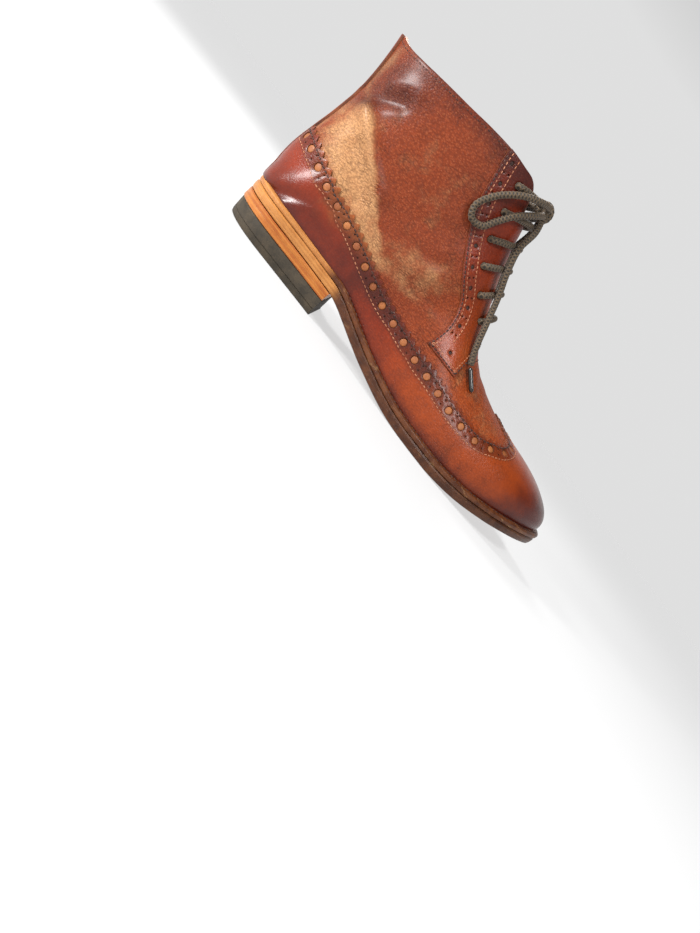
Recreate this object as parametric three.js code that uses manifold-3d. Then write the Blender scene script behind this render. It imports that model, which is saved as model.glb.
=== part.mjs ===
// A right-foot lace-up ankle boot with a long-wing brogue overlay, standing on its sole.
// Millimetres, +X to the toe, +Y to the inner side of the foot, +Z up, floor at z = 0.
// Lengths along the boot are measured from the back of the sole, and the whole is centred at the end.
import * as THREE from "three";
import { mergeVertices } from "three/addons/utils/BufferGeometryUtils.js";
import Module from "manifold-3d";

const wasm = await Module();
wasm.setup();

// Driving sizes
const SOLE_LENGTH = 302;
const BALL_WIDTH = 105; // what the widths of the sole and foot are shares of
const ANKLE_WIDTH = 66; // across the shaft
const UPPER_RISE = 135; // from the welt to the front of the collar
const TOE_SPRING = 17;
const HEEL_LENGTH = 83;
const RUBBER = 12; // heel top piece
const LIFT = 7.5; // leather heel lift
const OUTSOLE = 6.3;
const WELT = 4.2;
const INSOLE = 2.5;
const WELT_EDGE = 6; // sole showing outside the upper at the forefoot
const RAND_EDGE = 2; // the same round the heel
const WALL = 2.2; // upper, leather and lining
const OVERLAY = 0.9; // thickness of wing, facings and back stay
const TONGUE = 2;
const TONGUE_HALF = 27;
const GAP = 0.3; // clearance between curved pieces
const THROAT_TOP = 9.5; // opening between the facings at the collar
const THROAT_BASE = 13; // the same at the vamp
const STAY_WIDTH = 15;
const LACE = 3.6; // diameter
const LACE_HOLE = 4.8;
const LACE_RISE = 5.5; // how far the bars bow out over the throat
const TAG = 3; // diameter

// Smooth value of a column of a table at a fractional row.
function column(table, name, row) {
  const last = table.length - 1;
  const r = Math.min(Math.max(row, 0), last);
  const i = Math.min(Math.floor(r), last - 1);
  const f = r - i;
  const at = (k) => table[Math.min(Math.max(k, 0), last)][name];
  const [a, b, c, d] = [at(i - 1), at(i), at(i + 1), at(i + 2)];
  return b + 0.5 * f * (c - a + f * (2 * a - 5 * b + 4 * c - d + f * (3 * (b - c) + d - a)));
}

// Smooth value of a column at a place along the table's own `at` column.
function along(table, name, place) {
  const last = table.length - 1;
  let i = 0;
  while (i < last - 1 && table[i + 1].at < place) i++;
  const f = (place - table[i].at) / (table[i + 1].at - table[i].at);
  return column(table, name, i + Math.min(Math.max(f, 0), 1));
}

// 1 over most of a length, falling to 0 as a round end from `start` to `end`.
function roundEnd(place, start, end, power) {
  const u = Math.min(Math.max((place - start) / (end - start), 0), 1);
  return Math.pow(1 - Math.pow(u, power), 1 / power);
}

const smoothstep = THREE.MathUtils.smoothstep;

// Sole outline: middle line and half width, shares of the ball width, along shares of the length.
const SOLE_OUTLINE = [
  { at: 0.0, middle: 0.0, half: 0.335 },
  { at: 0.115, middle: -0.005, half: 0.333 },
  { at: 0.23, middle: -0.018, half: 0.318 },
  { at: 0.33, middle: -0.045, half: 0.306 },
  { at: 0.43, middle: -0.07, half: 0.328 },
  { at: 0.53, middle: -0.072, half: 0.395 },
  { at: 0.62, middle: -0.05, half: 0.465 },
  { at: 0.7, middle: -0.02, half: 0.497 },
  { at: 0.78, middle: 0.0, half: 0.487 },
  { at: 0.88, middle: 0.03, half: 0.455 },
  { at: 1.0, middle: 0.07, half: 0.41 },
];
const HEEL_ROUND = { end: 0.115, power: 2.3 };
const TOE_ROUND = { start: 0.76, power: 2.3 };

// Sole outline at a share of the length, drawn in by `inset`.
function outline(share, inset) {
  const round =
    roundEnd(HEEL_ROUND.end - share, 0, HEEL_ROUND.end, HEEL_ROUND.power) *
    roundEnd(share, TOE_ROUND.start, 1, TOE_ROUND.power);
  return {
    x: inset + (SOLE_LENGTH - 2 * inset) * share,
    middle: BALL_WIDTH * along(SOLE_OUTLINE, "middle", share),
    half: (BALL_WIDTH * along(SOLE_OUTLINE, "half", share) - inset) * round,
  };
}

// Underside of the outsole: shares of the heel height and of the toe spring.
const UNDERSIDE = [
  { at: 0.0, heel: 1.0, toe: 0 },
  { at: 0.18, heel: 1.0, toe: 0 },
  { at: 0.273, heel: 0.97, toe: 0 },
  { at: 0.303, heel: 0.88, toe: 0 },
  { at: 0.343, heel: 0.7, toe: 0 },
  { at: 0.374, heel: 0.55, toe: 0 },
  { at: 0.414, heel: 0.38, toe: 0 },
  { at: 0.455, heel: 0.24, toe: 0 },
  { at: 0.495, heel: 0.12, toe: 0 },
  { at: 0.535, heel: 0.035, toe: 0 },
  { at: 0.58, heel: 0, toe: 0 },
  { at: 0.625, heel: 0, toe: 0 },
  { at: 0.67, heel: 0, toe: 0 },
  { at: 0.75, heel: 0, toe: 0.13 },
  { at: 0.83, heel: 0, toe: 0.41 },
  { at: 0.92, heel: 0, toe: 0.76 },
  { at: 1.0, heel: 0, toe: 1.0 },
];

function underside(x) {
  const share = Math.min(Math.max(x / SOLE_LENGTH, 0), 1);
  const heel = Math.max(along(UNDERSIDE, "heel", share), 0);
  const toe = Math.max(along(UNDERSIDE, "toe", share), 0);
  return heel * (RUBBER + LIFT) + toe * TOE_SPRING;
}

const outsoleTop = (x) => underside(x) + OUTSOLE;
const feather = (x) => outsoleTop(x) + WELT; // where upper and insole sit

// How far the upper stands inside the sole's edge.
function edgeAt(share) {
  return RAND_EDGE + (WELT_EDGE - RAND_EDGE) * smoothstep(share, 0.2, 0.36);
}

// Sections of the last. Their planes turn from upright at the toe to level at the collar.
// under and over are the section's two ends, on the sole or back and on the vamp or front, as shares
// of the length; lift and rise are their heights above the welt, shares of UPPER_RISE.
// foot says how far the half width follows the sole (1) or the ankle (0), swell what the foot bulges
// past it. widest is the height of the widest place, crown and flank the roundness above and below it,
// ridge the sideways place of the top.
const SECTIONS = [
  { under: 0.98, lift: 0, over: 0.98, rise: 0.16, foot: 1, swell: 0, widest: 0.4, crown: 2.2, flank: 2.2, ridge: 0.05 },
  { under: 0.918, lift: 0, over: 0.918, rise: 0.182, foot: 1, swell: 0.0, widest: 0.38, crown: 2.2, flank: 2.2, ridge: 0.045 },
  { under: 0.836, lift: 0, over: 0.836, rise: 0.226, foot: 1, swell: 0.004, widest: 0.36, crown: 2.15, flank: 2.2, ridge: 0.035 },
  { under: 0.754, lift: 0, over: 0.752, rise: 0.278, foot: 1, swell: 0.006, widest: 0.34, crown: 2.05, flank: 2.2, ridge: 0.03 },
  { under: 0.672, lift: 0, over: 0.674, rise: 0.328, foot: 1, swell: 0.008, widest: 0.32, crown: 1.95, flank: 2.2, ridge: 0.028 },
  { under: 0.59, lift: 0, over: 0.598, rise: 0.388, foot: 1, swell: 0.01, widest: 0.3, crown: 1.95, flank: 2.2, ridge: 0.025 },
  { under: 0.508, lift: 0, over: 0.55, rise: 0.472, foot: 1, swell: 0.018, widest: 0.3, crown: 2.0, flank: 2.2, ridge: 0.02 },
  { under: 0.42, lift: 0, over: 0.518, rise: 0.552, foot: 1, swell: 0.026, widest: 0.3, crown: 2.05, flank: 2.2, ridge: 0.015 },
  { under: 0.33, lift: 0, over: 0.492, rise: 0.617, foot: 1, swell: 0.03, widest: 0.32, crown: 2.05, flank: 2.2, ridge: 0.01 },
  { under: 0.235, lift: 0, over: 0.471, rise: 0.672, foot: 1, swell: 0.026, widest: 0.34, crown: 2.05, flank: 2.2, ridge: 0.005 },
  { under: 0.145, lift: 0, over: 0.4555, rise: 0.718, foot: 0.85, swell: 0.016, widest: 0.36, crown: 2.1, flank: 2.2, ridge: 0 },
  { under: 0.07, lift: 0, over: 0.4445, rise: 0.758, foot: 0.65, swell: 0.012, widest: 0.38, crown: 2.1, flank: 2.3, ridge: 0 },
  { under: 0.01, lift: 0.0, over: 0.435, rise: 0.793, foot: 0.4, swell: 0.01, widest: 0.4, crown: 2.15, flank: 2.4, ridge: 0 },
  { under: -0.001, lift: 0.08, over: 0.427, rise: 0.826, foot: 0.2, swell: 0.008, widest: 0.42, crown: 2.2, flank: 2.4, ridge: 0 },
  { under: -0.005, lift: 0.185, over: 0.419, rise: 0.86, foot: 0, swell: 0.0, widest: 0.43, crown: 2.2, flank: 2.4, ridge: 0 },
  { under: -0.001, lift: 0.303, over: 0.411, rise: 0.893, foot: 0, swell: 0.0, widest: 0.44, crown: 2.2, flank: 2.4, ridge: 0 },
  { under: 0.004, lift: 0.41, over: 0.402, rise: 0.921, foot: 0, swell: 0.0, widest: 0.44, crown: 2.2, flank: 2.3, ridge: 0 },
  { under: 0.006, lift: 0.525, over: 0.393, rise: 0.949, foot: 0, swell: 0.0, widest: 0.44, crown: 2.2, flank: 2.3, ridge: 0 },
  { under: 0.003, lift: 0.625, over: 0.385, rise: 0.97, foot: 0, swell: 0.0, widest: 0.44, crown: 2.3, flank: 2.2, ridge: 0 },
  { under: -0.006, lift: 0.735, over: 0.378, rise: 0.986, foot: 0, swell: 0.0, widest: 0.45, crown: 2.4, flank: 2.1, ridge: 0 },
  { under: -0.017, lift: 0.835, over: 0.3705, rise: 1.0, foot: 0, swell: 0.0, widest: 0.46, crown: 2.5, flank: 2.0, ridge: 0 },
  { under: -0.03, lift: 0.93, over: 0.364, rise: 1.06, foot: 0, swell: 0.0, widest: 0.46, crown: 2.5, flank: 2.0, ridge: 0 },
];
const PAST_COLLAR = SECTIONS.length - 1; // the last row lies above the boot, for cutting
const COLLAR = PAST_COLLAR - 1;
const SOLE_ROWS = 12; // up to this row, sections start under the foot
const TOE_CROWN = { start: 0.82, power: 2.2 }; // where the toe box starts to round down
const UNDERCUT = 4; // sections start this far below the welt's top
const FEATHER_INSET = 1.5;

// The frame of one section at a fractional row, drawn in by `inset` (built out where it is negative).
function sectionFrame(row, inset) {
  const get = (name) => column(SECTIONS, name, row);
  const share = Math.min(Math.max(get("under"), 0), 1);
  const onSole = 1 - smoothstep(row, SOLE_ROWS, SOLE_ROWS + 1);
  const tip = (SOLE_LENGTH - WELT_EDGE - inset) / SOLE_LENGTH;
  const within = (place) => Math.min(place, 0.9995 * tip);
  const round = roundEnd(within(share), TOE_ROUND.start, tip, TOE_ROUND.power);
  const heelRound = roundEnd(HEEL_ROUND.end - share, 0, HEEL_ROUND.end, HEEL_ROUND.power);
  const lowering = roundEnd(within(get("over")), TOE_CROWN.start, tip, TOE_CROWN.power);
  const x = SOLE_LENGTH * within(get("under"));
  const overX = SOLE_LENGTH * within(get("over"));
  const under = new THREE.Vector3(x, 0, feather(x) + UPPER_RISE * get("lift") - UNDERCUT * onSole);
  const over = new THREE.Vector3(overX, 0, feather(overX) + UPPER_RISE * get("rise") * lowering);
  const up = over.clone().sub(under).normalize();
  over.addScaledVector(up, -inset);
  under.addScaledVector(up, inset * (1 - onSole));
  const soleHalf = BALL_WIDTH * along(SOLE_OUTLINE, "half", share) - edgeAt(share);
  const footHalf = (soleHalf + BALL_WIDTH * get("swell")) * round;
  const halfWidth = get("foot") * footHalf + (1 - get("foot")) * (ANKLE_WIDTH / 2) - inset;
  const flat = (soleHalf * round * heelRound - FEATHER_INSET) * onSole - inset;
  return {
    under,
    over,
    halfWidth,
    flat: Math.max(Math.min(flat, halfWidth - 1), 0),
    low: BALL_WIDTH * along(SOLE_OUTLINE, "middle", share) * onSole,
    ridge: BALL_WIDTH * get("ridge"),
    widest: get("widest"),
    crown: get("crown"),
    flank: get("flank"),
  };
}

// A point of a section: height as a share from under to over, and the distance from its middle line.
function inSection(frame, height, sideways) {
  const point = frame.under.clone().lerp(frame.over, height);
  point.y = frame.low + (frame.ridge - frame.low) * height + sideways;
  return point;
}

const CROWN_STEPS = 7;
const FLANK_STEPS = 3;

// One closed section as a ring of points, from the ridge down the outer side and up the inner side.
function section(row, inset) {
  const frame = sectionFrame(row, inset);
  const { widest, halfWidth, flat } = frame;
  const half = [];
  for (let i = 0; i <= CROWN_STEPS; i++) {
    const a = (Math.PI / 2) * (i / CROWN_STEPS);
    const height = i === CROWN_STEPS ? 0 : Math.pow(Math.cos(a), 2 / frame.crown);
    half.push([widest + (1 - widest) * height, halfWidth * Math.pow(Math.sin(a), 2 / frame.crown)]);
  }
  for (let i = 1; i <= FLANK_STEPS; i++) {
    const a = (Math.PI / 2) * (1 - i / FLANK_STEPS);
    const drop = i === FLANK_STEPS ? 1 : Math.pow(Math.cos(a), 2 / frame.flank);
    const out = i === FLANK_STEPS ? 0 : Math.pow(Math.sin(a), 2 / frame.flank);
    half.push([widest - widest * drop, flat + (halfWidth - flat) * out]);
  }
  half.push([0, 0]);
  const outer = half.map(([height, y]) => inSection(frame, height, -y));
  const inner = half.slice(1, -1).map(([height, y]) => inSection(frame, height, y));
  return [...outer, ...inner.reverse()];
}

// A geometry as a solid, whichever way round its faces were listed.
function solid(geometry) {
  const bare = new THREE.BufferGeometry().setAttribute("position", geometry.getAttribute("position"));
  if (geometry.index) bare.setIndex(geometry.index);
  const merged = mergeVertices(bare, 1e-4);
  const index = Array.from(merged.index.array);
  const vertProperties = new Float32Array(merged.attributes.position.array);
  const build = (flip) => {
    const triVerts = [];
    for (let i = 0; i < index.length; i += 3) {
      const [a, b, c] = [index[i], index[i + 1], index[i + 2]];
      if (a !== b && b !== c && a !== c) triVerts.push(...(flip ? [a, c, b] : [a, b, c]));
    }
    return new wasm.Manifold(new wasm.Mesh({ numProp: 3, vertProperties, triVerts: new Uint32Array(triVerts) }));
  };
  const made = build(false);
  return made.volume() > 0 ? made : build(true);
}

// A closed solid through rings of points, with a flat fan over each end.
function loft(rings) {
  const n = rings[0].length;
  const points = rings.flat();
  const faces = [];
  for (let r = 0; r < rings.length - 1; r++) {
    for (let i = 0; i < n; i++) {
      const [a, b] = [r * n + i, r * n + ((i + 1) % n)];
      faces.push(a, b, b + n, a, b + n, a + n);
    }
  }
  for (const r of [0, rings.length - 1]) {
    const middle = rings[r].reduce((sum, p) => sum.add(p), new THREE.Vector3()).divideScalar(n);
    const centre = points.push(middle) - 1;
    for (let i = 0; i < n; i++) {
      const [a, b] = [r * n + i, r * n + ((i + 1) % n)];
      faces.push(...(r === 0 ? [centre, b, a] : [centre, a, b]));
    }
  }
  const geometry = new THREE.BufferGeometry().setFromPoints(points);
  geometry.setIndex(faces);
  return solid(geometry);
}

// The last as a closed form up to a row, drawn in or built out by `inset`.
function form(inset, top) {
  const TOE_RINGS = 5;
  const rows = [];
  for (let i = 0; i < TOE_RINGS; i++) rows.push(Math.pow(i / TOE_RINGS, 2));
  for (let row = 1; row < SOLE_ROWS + 1; row += 0.75) rows.push(row);
  for (let row = SOLE_ROWS + 1; row <= top; row++) rows.push(row);
  return loft(rows.map((row) => section(row, inset)));
}

// A sole layer between levels, each a drawn-in outline with its height as a function of x.
function layer(levels) {
  const STATIONS = 30;
  const points = [];
  const faces = [];
  for (const { inset, height } of levels) {
    for (let i = 0; i <= STATIONS; i++) {
      const share = 0.5 - 0.5 * Math.cos((Math.PI * i) / STATIONS);
      const { x, middle, half } = outline(share, inset);
      points.push(new THREE.Vector3(x, middle - half, height(x)), new THREE.Vector3(x, middle + half, height(x)));
    }
  }
  const at = (level, station, side) => (level * (STATIONS + 1) + station) * 2 + side;
  for (let i = 0; i < STATIONS; i++) {
    const top = levels.length - 1;
    faces.push(at(0, i, 0), at(0, i, 1), at(0, i + 1, 1), at(0, i, 0), at(0, i + 1, 1), at(0, i + 1, 0));
    faces.push(at(top, i, 0), at(top, i + 1, 1), at(top, i, 1), at(top, i, 0), at(top, i + 1, 0), at(top, i + 1, 1));
    for (let k = 0; k < top; k++) {
      const [a, b, c, d] = [at(k, i, 0), at(k, i + 1, 0), at(k + 1, i + 1, 0), at(k + 1, i, 0)];
      faces.push(a, b, c, a, c, d);
      const [e, f, g, h] = [at(k, i, 1), at(k, i + 1, 1), at(k + 1, i + 1, 1), at(k + 1, i, 1)];
      faces.push(e, g, f, e, h, g);
    }
  }
  const geometry = new THREE.BufferGeometry().setFromPoints(points);
  geometry.setIndex(faces);
  return solid(geometry);
}

// A prism of a flat outline, drawn in x and z, x and y, or y and z, between two places on the third axis.
function prism(plane, corners, from, to) {
  const shape = new THREE.Shape(corners.map(([a, b]) => new THREE.Vector2(a, b)));
  const geometry = new THREE.ExtrudeGeometry(shape, { depth: to - from, bevelEnabled: false });
  geometry.translate(0, 0, from);
  if (plane === "xz") geometry.rotateX(Math.PI / 2).scale(1, -1, 1);
  if (plane === "yz") geometry.applyMatrix4(new THREE.Matrix4().set(0, 0, 1, 0, 1, 0, 0, 0, 0, 1, 0, 0, 0, 0, 0, 1));
  return solid(geometry);
}

// A smooth line through corners.
function smooth(corners, steps) {
  return new THREE.SplineCurve(corners.map(([a, b]) => new THREE.Vector2(a, b)))
    .getPoints(steps)
    .map((p) => [p.x, p.y]);
}

// Side-view lines as tables of length shares and heights above the welt as shares of UPPER_RISE.
const sideLine = (table, steps) =>
  smooth(
    table.map(({ at, rise }) => [SOLE_LENGTH * at, feather(SOLE_LENGTH * at) + UPPER_RISE * rise]),
    steps,
  );

// Upper edge of the wing's side, from the heel to the toe
const WING_SIDE = [
  { at: -0.04, rise: 0.312 },
  { at: 0.017, rise: 0.292 },
  { at: 0.053, rise: 0.268 },
  { at: 0.112, rise: 0.236 },
  { at: 0.168, rise: 0.211 },
  { at: 0.219, rise: 0.194 },
  { at: 0.282, rise: 0.163 },
  { at: 0.347, rise: 0.163 },
  { at: 0.414, rise: 0.185 },
  { at: 0.48, rise: 0.203 },
  { at: 0.548, rise: 0.219 },
  { at: 0.616, rise: 0.208 },
  { at: 0.688, rise: 0.208 },
  { at: 0.725, rise: 0.226 },
  { at: 0.75, rise: 0.243 },
  { at: 0.775, rise: 0.27 },
];
// Its edge over the toe, from the peak to the valley: length, and distance from the ridge in ball widths
const WING_PEAK = [
  { at: 0.71, out: 0.0 },
  { at: 0.722, out: 0.05 },
  { at: 0.741, out: 0.11 },
  { at: 0.756, out: 0.17 },
  { at: 0.764, out: 0.22 },
  { at: 0.766, out: 0.25 },
];
// Top edge of the collar, from behind the back seam to the front
const COLLAR_LINE = [
  { at: -0.04, rise: 0.85 },
  { at: -0.017, rise: 0.838 },
  { at: 0.0, rise: 0.82 },
  { at: 0.023, rise: 0.812 },
  { at: 0.05, rise: 0.814 },
  { at: 0.09, rise: 0.824 },
  { at: 0.17, rise: 0.851 },
  { at: 0.23, rise: 0.878 },
  { at: 0.285, rise: 0.905 },
  { at: 0.325, rise: 0.934 },
  { at: 0.351, rise: 0.955 },
  { at: 0.368, rise: 0.95 },
  { at: 0.379, rise: 0.925 },
  { at: 0.387, rise: 0.87 },
  { at: 0.4, rise: 0.82 },
];
// Rear edge of the facing, from above the collar to the tab, and the tab's front corner
const FACING_REAR = [
  { at: 0.272, rise: 1.08 },
  { at: 0.282, rise: 0.9 },
  { at: 0.3, rise: 0.793 },
  { at: 0.323, rise: 0.687 },
  { at: 0.36, rise: 0.602 },
  { at: 0.411, rise: 0.521 },
  { at: 0.457, rise: 0.454 },
  { at: 0.477, rise: 0.361 },
  { at: 0.476, rise: 0.249 },
];
const FACING_FRONT = [
  { at: 0.566, rise: 0.277 },
  { at: 0.564, rise: 0.36 },
  { at: 0.557, rise: 0.455 },
];
const THROAT = { at: 0.552, rise: 0.44 }; // its base on the vamp
const FAR = 400; // past everything, for cutting bodies

const throatX = SOLE_LENGTH * THROAT.at;
const throatZ = feather(throatX) + UPPER_RISE * THROAT.rise;
const throatRidge = BALL_WIDTH * 0.02;

const featherLine = Array.from({ length: 49 }, (_, i) => -40 + (i * (SOLE_LENGTH + 60)) / 48).map((x) => [x, feather(x)]);

// The slot between the facings, cut forward from the middle of the shaft.
function throatSlot(extra) {
  const [low, high] = [THROAT_BASE / 2 - extra, THROAT_TOP / 2 - extra];
  const top = feather(0) + UPPER_RISE * 1.2;
  const base = throatZ + extra;
  const corners = [
    [throatRidge - low, base + 3],
    [throatRidge - low + 3, base],
    [throatRidge + low - 3, base],
    [throatRidge + low, base + 3],
    [high, top],
    [-high, top],
  ];
  return prism("yz", corners, SOLE_LENGTH * 0.22, SOLE_LENGTH * 0.7);
}

// Lace rows from the collar down, as places on the last: row of a section and angle from its ridge.
const LACE_ROWS = [
  { row: 17.25, angle: 40 },
  { row: 14.65, angle: 38.5 },
  { row: 12.05, angle: 35 },
  { row: 9.8, angle: 35 },
  { row: 8.2, angle: 34 },
  { row: 6.95, angle: 28 },
];

// A point of the last at a row and an angle in degrees from its ridge, 90 at the widest place and 180 at
// the foot's middle line, the outer side negative; `lifted` stands it off the surface.
function onLast(row, angle, lifted) {
  const place = (r, degrees) => {
    const frame = sectionFrame(r, 0);
    const turn = THREE.MathUtils.degToRad(Math.abs(degrees));
    const low = turn > Math.PI / 2;
    const power = 2 / (low ? frame.flank : frame.crown);
    const height = (low ? -frame.widest : 1 - frame.widest) * Math.pow(Math.abs(Math.cos(turn)), power);
    const base = low ? frame.flat : 0;
    const out = base + (frame.halfWidth - base) * Math.pow(Math.sin(turn), power);
    return inSection(frame, frame.widest + height, Math.sign(degrees) * out);
  };
  const side = angle < 0 ? -1 : 1;
  const at = Math.max(Math.abs(angle), 1);
  const around = place(row, side * (at + 0.9)).sub(place(row, side * (at - 0.9)));
  const across = place(row + 0.05, side * at).sub(place(row - 0.05, side * at));
  const normal = around.cross(across).multiplyScalar(side).normalize();
  if (Math.abs(angle) < 1) normal.setY(0).normalize();
  return place(row, angle).addScaledVector(normal, lifted);
}

// A round bar of 8 sides along points.
function cord(points, diameter, steps) {
  const round = new THREE.Shape();
  for (let i = 0; i < 8; i++) {
    const a = (Math.PI * (i + 0.5)) / 4;
    const [x, y] = [(diameter / 2) * Math.cos(a), (diameter / 2) * Math.sin(a)];
    if (i === 0) round.moveTo(x, y);
    else round.lineTo(x, y);
  }
  round.closePath();
  const path = new THREE.CatmullRomCurve3(points, false, "centripetal");
  return solid(new THREE.ExtrudeGeometry(round, { steps, extrudePath: path, bevelEnabled: false }));
}

// A straight pin through the wall at a lace hole.
function holePin(row, angle) {
  const from = onLast(row, angle, -8);
  const to = onLast(row, angle, 8);
  return cord([from, from.clone().lerp(to, 0.5), to], LACE_HOLE, 1);
}

const pins = wasm.Manifold.union(LACE_ROWS.flatMap(({ row, angle }) => [holePin(row, angle), holePin(row, -angle)]));

// Upper and overlays
const collar = sideLine(COLLAR_LINE, 40);
const body = prism(
  "xz",
  [...collar, [SOLE_LENGTH, collar.at(-1)[1]], ...featherLine.toReversed().filter(([x]) => x < SOLE_LENGTH + 30)],
  -FAR,
  FAR,
);
const skin = form(-GAP - OVERLAY, COLLAR).subtract(form(-GAP, PAST_COLLAR)).intersect(body);
const throat = throatSlot(0);

function upper() {
  return form(0, COLLAR).subtract(form(WALL, PAST_COLLAR)).intersect(body).subtract(throat).subtract(pins);
}

function strip(width) {
  return prism("xy", [[-FAR, -width / 2], [40, -width / 2], [40, width / 2], [-FAR, width / 2]], -FAR, FAR);
}

function wing() {
  const side = sideLine(WING_SIDE, 40);
  const sideBody = prism("xz", [...side, [side.at(-1)[0], -FAR], [-FAR, -FAR], [-FAR, side[0][1]]], -FAR, FAR);
  const middle = BALL_WIDTH * 0.03;
  const half = WING_PEAK.map(({ at, out }) => [SOLE_LENGTH * at, BALL_WIDTH * out]);
  const corners = [...half.slice(1).reverse().map(([x, y]) => [x, -y]), ...half];
  const peak = corners.map(([x, y]) => [x, middle + y]);
  const [x1] = half.at(-1);
  const toeBody = prism("xy", [[x1, -FAR], ...peak, [x1, FAR], [FAR, FAR], [FAR, -FAR]], -FAR, FAR);
  return skin.intersect(sideBody.add(toeBody)).subtract(strip(STAY_WIDTH + 2 * GAP));
}

function facing(side) {
  const rear = sideLine(FACING_REAR, 24);
  const front = sideLine(FACING_FRONT, 4);
  const [x, z] = front.at(-1);
  const corners = [...rear, ...front, [x + 30, z], [x + 30, FAR], [rear[0][0], FAR]];
  const body = prism("xz", corners, side < 0 ? -FAR : 0, side < 0 ? 0 : FAR);
  return skin.intersect(body).subtract(throat).subtract(pins);
}

function backStay() {
  return skin.intersect(strip(STAY_WIDTH));
}

function tongue() {
  const line = [
    [0.58, 0.36],
    [0.5, 0.36],
    [0.4, 0.55],
    [0.31, 0.8],
    [0.27, 0.905],
    [0.6, 0.905],
  ].map(([at, rise]) => [SOLE_LENGTH * at, feather(SOLE_LENGTH * at) + UPPER_RISE * rise]);
  line[5][1] = line[4][1];
  const shell = form(WALL + GAP, PAST_COLLAR).subtract(form(WALL + GAP + TONGUE, PAST_COLLAR));
  const middle = throatRidge;
  return shell.intersect(prism("xz", line, middle - TONGUE_HALF, middle + TONGUE_HALF));
}

// Sole layers, from the insole down
function insole() {
  const slab = layer([
    { inset: 0, height: feather },
    { inset: 0, height: (x) => feather(x) + INSOLE },
  ]);
  return slab.intersect(form(WALL + GAP, COLLAR));
}

function welt() {
  return layer([
    { inset: 0.6, height: outsoleTop },
    { inset: 0, height: (x) => outsoleTop(x) + 1 },
    { inset: 0, height: (x) => feather(x) - GAP - 1.2 },
    { inset: 1.2, height: (x) => feather(x) - GAP },
  ]);
}

function outsole() {
  return layer([
    { inset: 1.6, height: underside },
    { inset: 0.2, height: (x) => underside(x) + 1.6 },
    { inset: 0, height: (x) => outsoleTop(x) - GAP - 1 },
    { inset: 0.6, height: (x) => outsoleTop(x) - GAP },
  ]);
}

const heelBlock = () => prism("xy", [[-FAR, -FAR], [HEEL_LENGTH, -FAR], [HEEL_LENGTH, FAR], [-FAR, FAR]], -FAR, FAR);

function heelLift() {
  return layer([
    { inset: 0.9, height: () => RUBBER + GAP },
    { inset: 0.4, height: (x) => Math.max(underside(x) - GAP, RUBBER + 2) },
  ]).intersect(heelBlock());
}

function topPiece() {
  return layer([
    { inset: 3.6, height: () => 0 },
    { inset: 1.9, height: () => 2.4 },
    { inset: 1, height: () => RUBBER },
  ]).intersect(heelBlock());
}

// Lace. A bar leaves its hole, crosses the throat over the facings and goes in on the other side.
const LACE_SEAT = GAP + OVERLAY + GAP + LACE / 2; // middle of a lace lying on the facings

function laceEnd(row, angle) {
  return [
    onLast(row, angle, 0.1 - WALL),
    onLast(row, angle, LACE_SEAT - 0.6),
    onLast(row, angle * 0.72, LACE_SEAT + 0.9),
  ];
}

function laceBar({ row, angle }) {
  return cord([...laceEnd(row, -angle), onLast(row, 0, LACE_RISE), ...laceEnd(row, angle).reverse()], LACE, 13);
}

// The bow lies against the facings. Its routes are rows and angles of the last with the lace's stand-off.
const KNOT = { row: 16.6, lift: 8.8, wide: 16, high: 13, deep: 9.5 };
const LOOP = [
  { row: 17.0, angle: 8.5, lift: 11 },
  { row: 17.0, angle: 24, lift: 11 },
  { row: 16.5, angle: 39, lift: 8.6 },
  { row: 15.5, angle: 51, lift: 5.6 },
  { row: 14.2, angle: 56, lift: 4 },
  { row: 13.2, angle: 53, lift: 3.6 },
  { row: 12.9, angle: 46, lift: 3.8 },
  { row: 13.6, angle: 41.5, lift: 5 },
  { row: 14.7, angle: 35, lift: 7.6 },
  { row: 15.5, angle: 22, lift: 9.4 },
  { row: 16.0, angle: 9, lift: 9.8 },
];
const END = [
  { row: 15.45, angle: 4, lift: 9.2 },
  { row: 14.2, angle: 10, lift: 9.6 },
  { row: 12, angle: 17, lift: 8.8 },
  { row: 9.8, angle: 20, lift: 8.6 },
  { row: 8.2, angle: 23, lift: 8.4 },
  { row: 6.9, angle: 30, lift: 7 },
  { row: 6.0, angle: 37, lift: 4.6 },
  { row: 5.5, angle: 41, lift: 2.9 },
];
const TAG_ROUTE = [
  { row: 5.46, angle: 41.3, lift: 2.7 },
  { row: 4.75, angle: 46, lift: 1.9 },
];

const knotPlace = onLast(KNOT.row, 0, KNOT.lift);

function knot() {
  const ball = new THREE.SphereGeometry(0.5, 12, 8).scale(KNOT.deep, KNOT.wide, KNOT.high);
  return solid(ball.translate(knotPlace.x, knotPlace.y, knotPlace.z));
}

const route = (table, side) => table.map(({ row, angle, lift }) => onLast(row, side * angle, lift));

// A top-row lace from its hole to the knot
function laceTop(side) {
  const { row, angle } = LACE_ROWS[0];
  const points = [...laceEnd(row, side * angle), onLast(row - 0.25, side * angle * 0.34, LACE_RISE + 0.9)];
  return cord(points, LACE, 8);
}

const group = new THREE.Group();

const SMALLEST = 0.04; // details under this are left out of the facets

function addPart(name, made, colour, roughness, metalness = 0) {
  const mesh = made.simplify(SMALLEST).getMesh();
  const geometry = new THREE.BufferGeometry();
  geometry.setAttribute("position", new THREE.BufferAttribute(new Float32Array(mesh.vertProperties), 3));
  geometry.setIndex(new THREE.BufferAttribute(new Uint32Array(mesh.triVerts), 1));
  const material = new THREE.MeshStandardMaterial({ color: colour, roughness, metalness });
  const part = new THREE.Mesh(geometry, material);
  part.name = name;
  group.add(part);
}

const LEATHER = 0x8a4522;
const BURNISHED = 0x6e2f16;
const NATURAL = 0xb87938;
const CORD = 0x4a4234;

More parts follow.
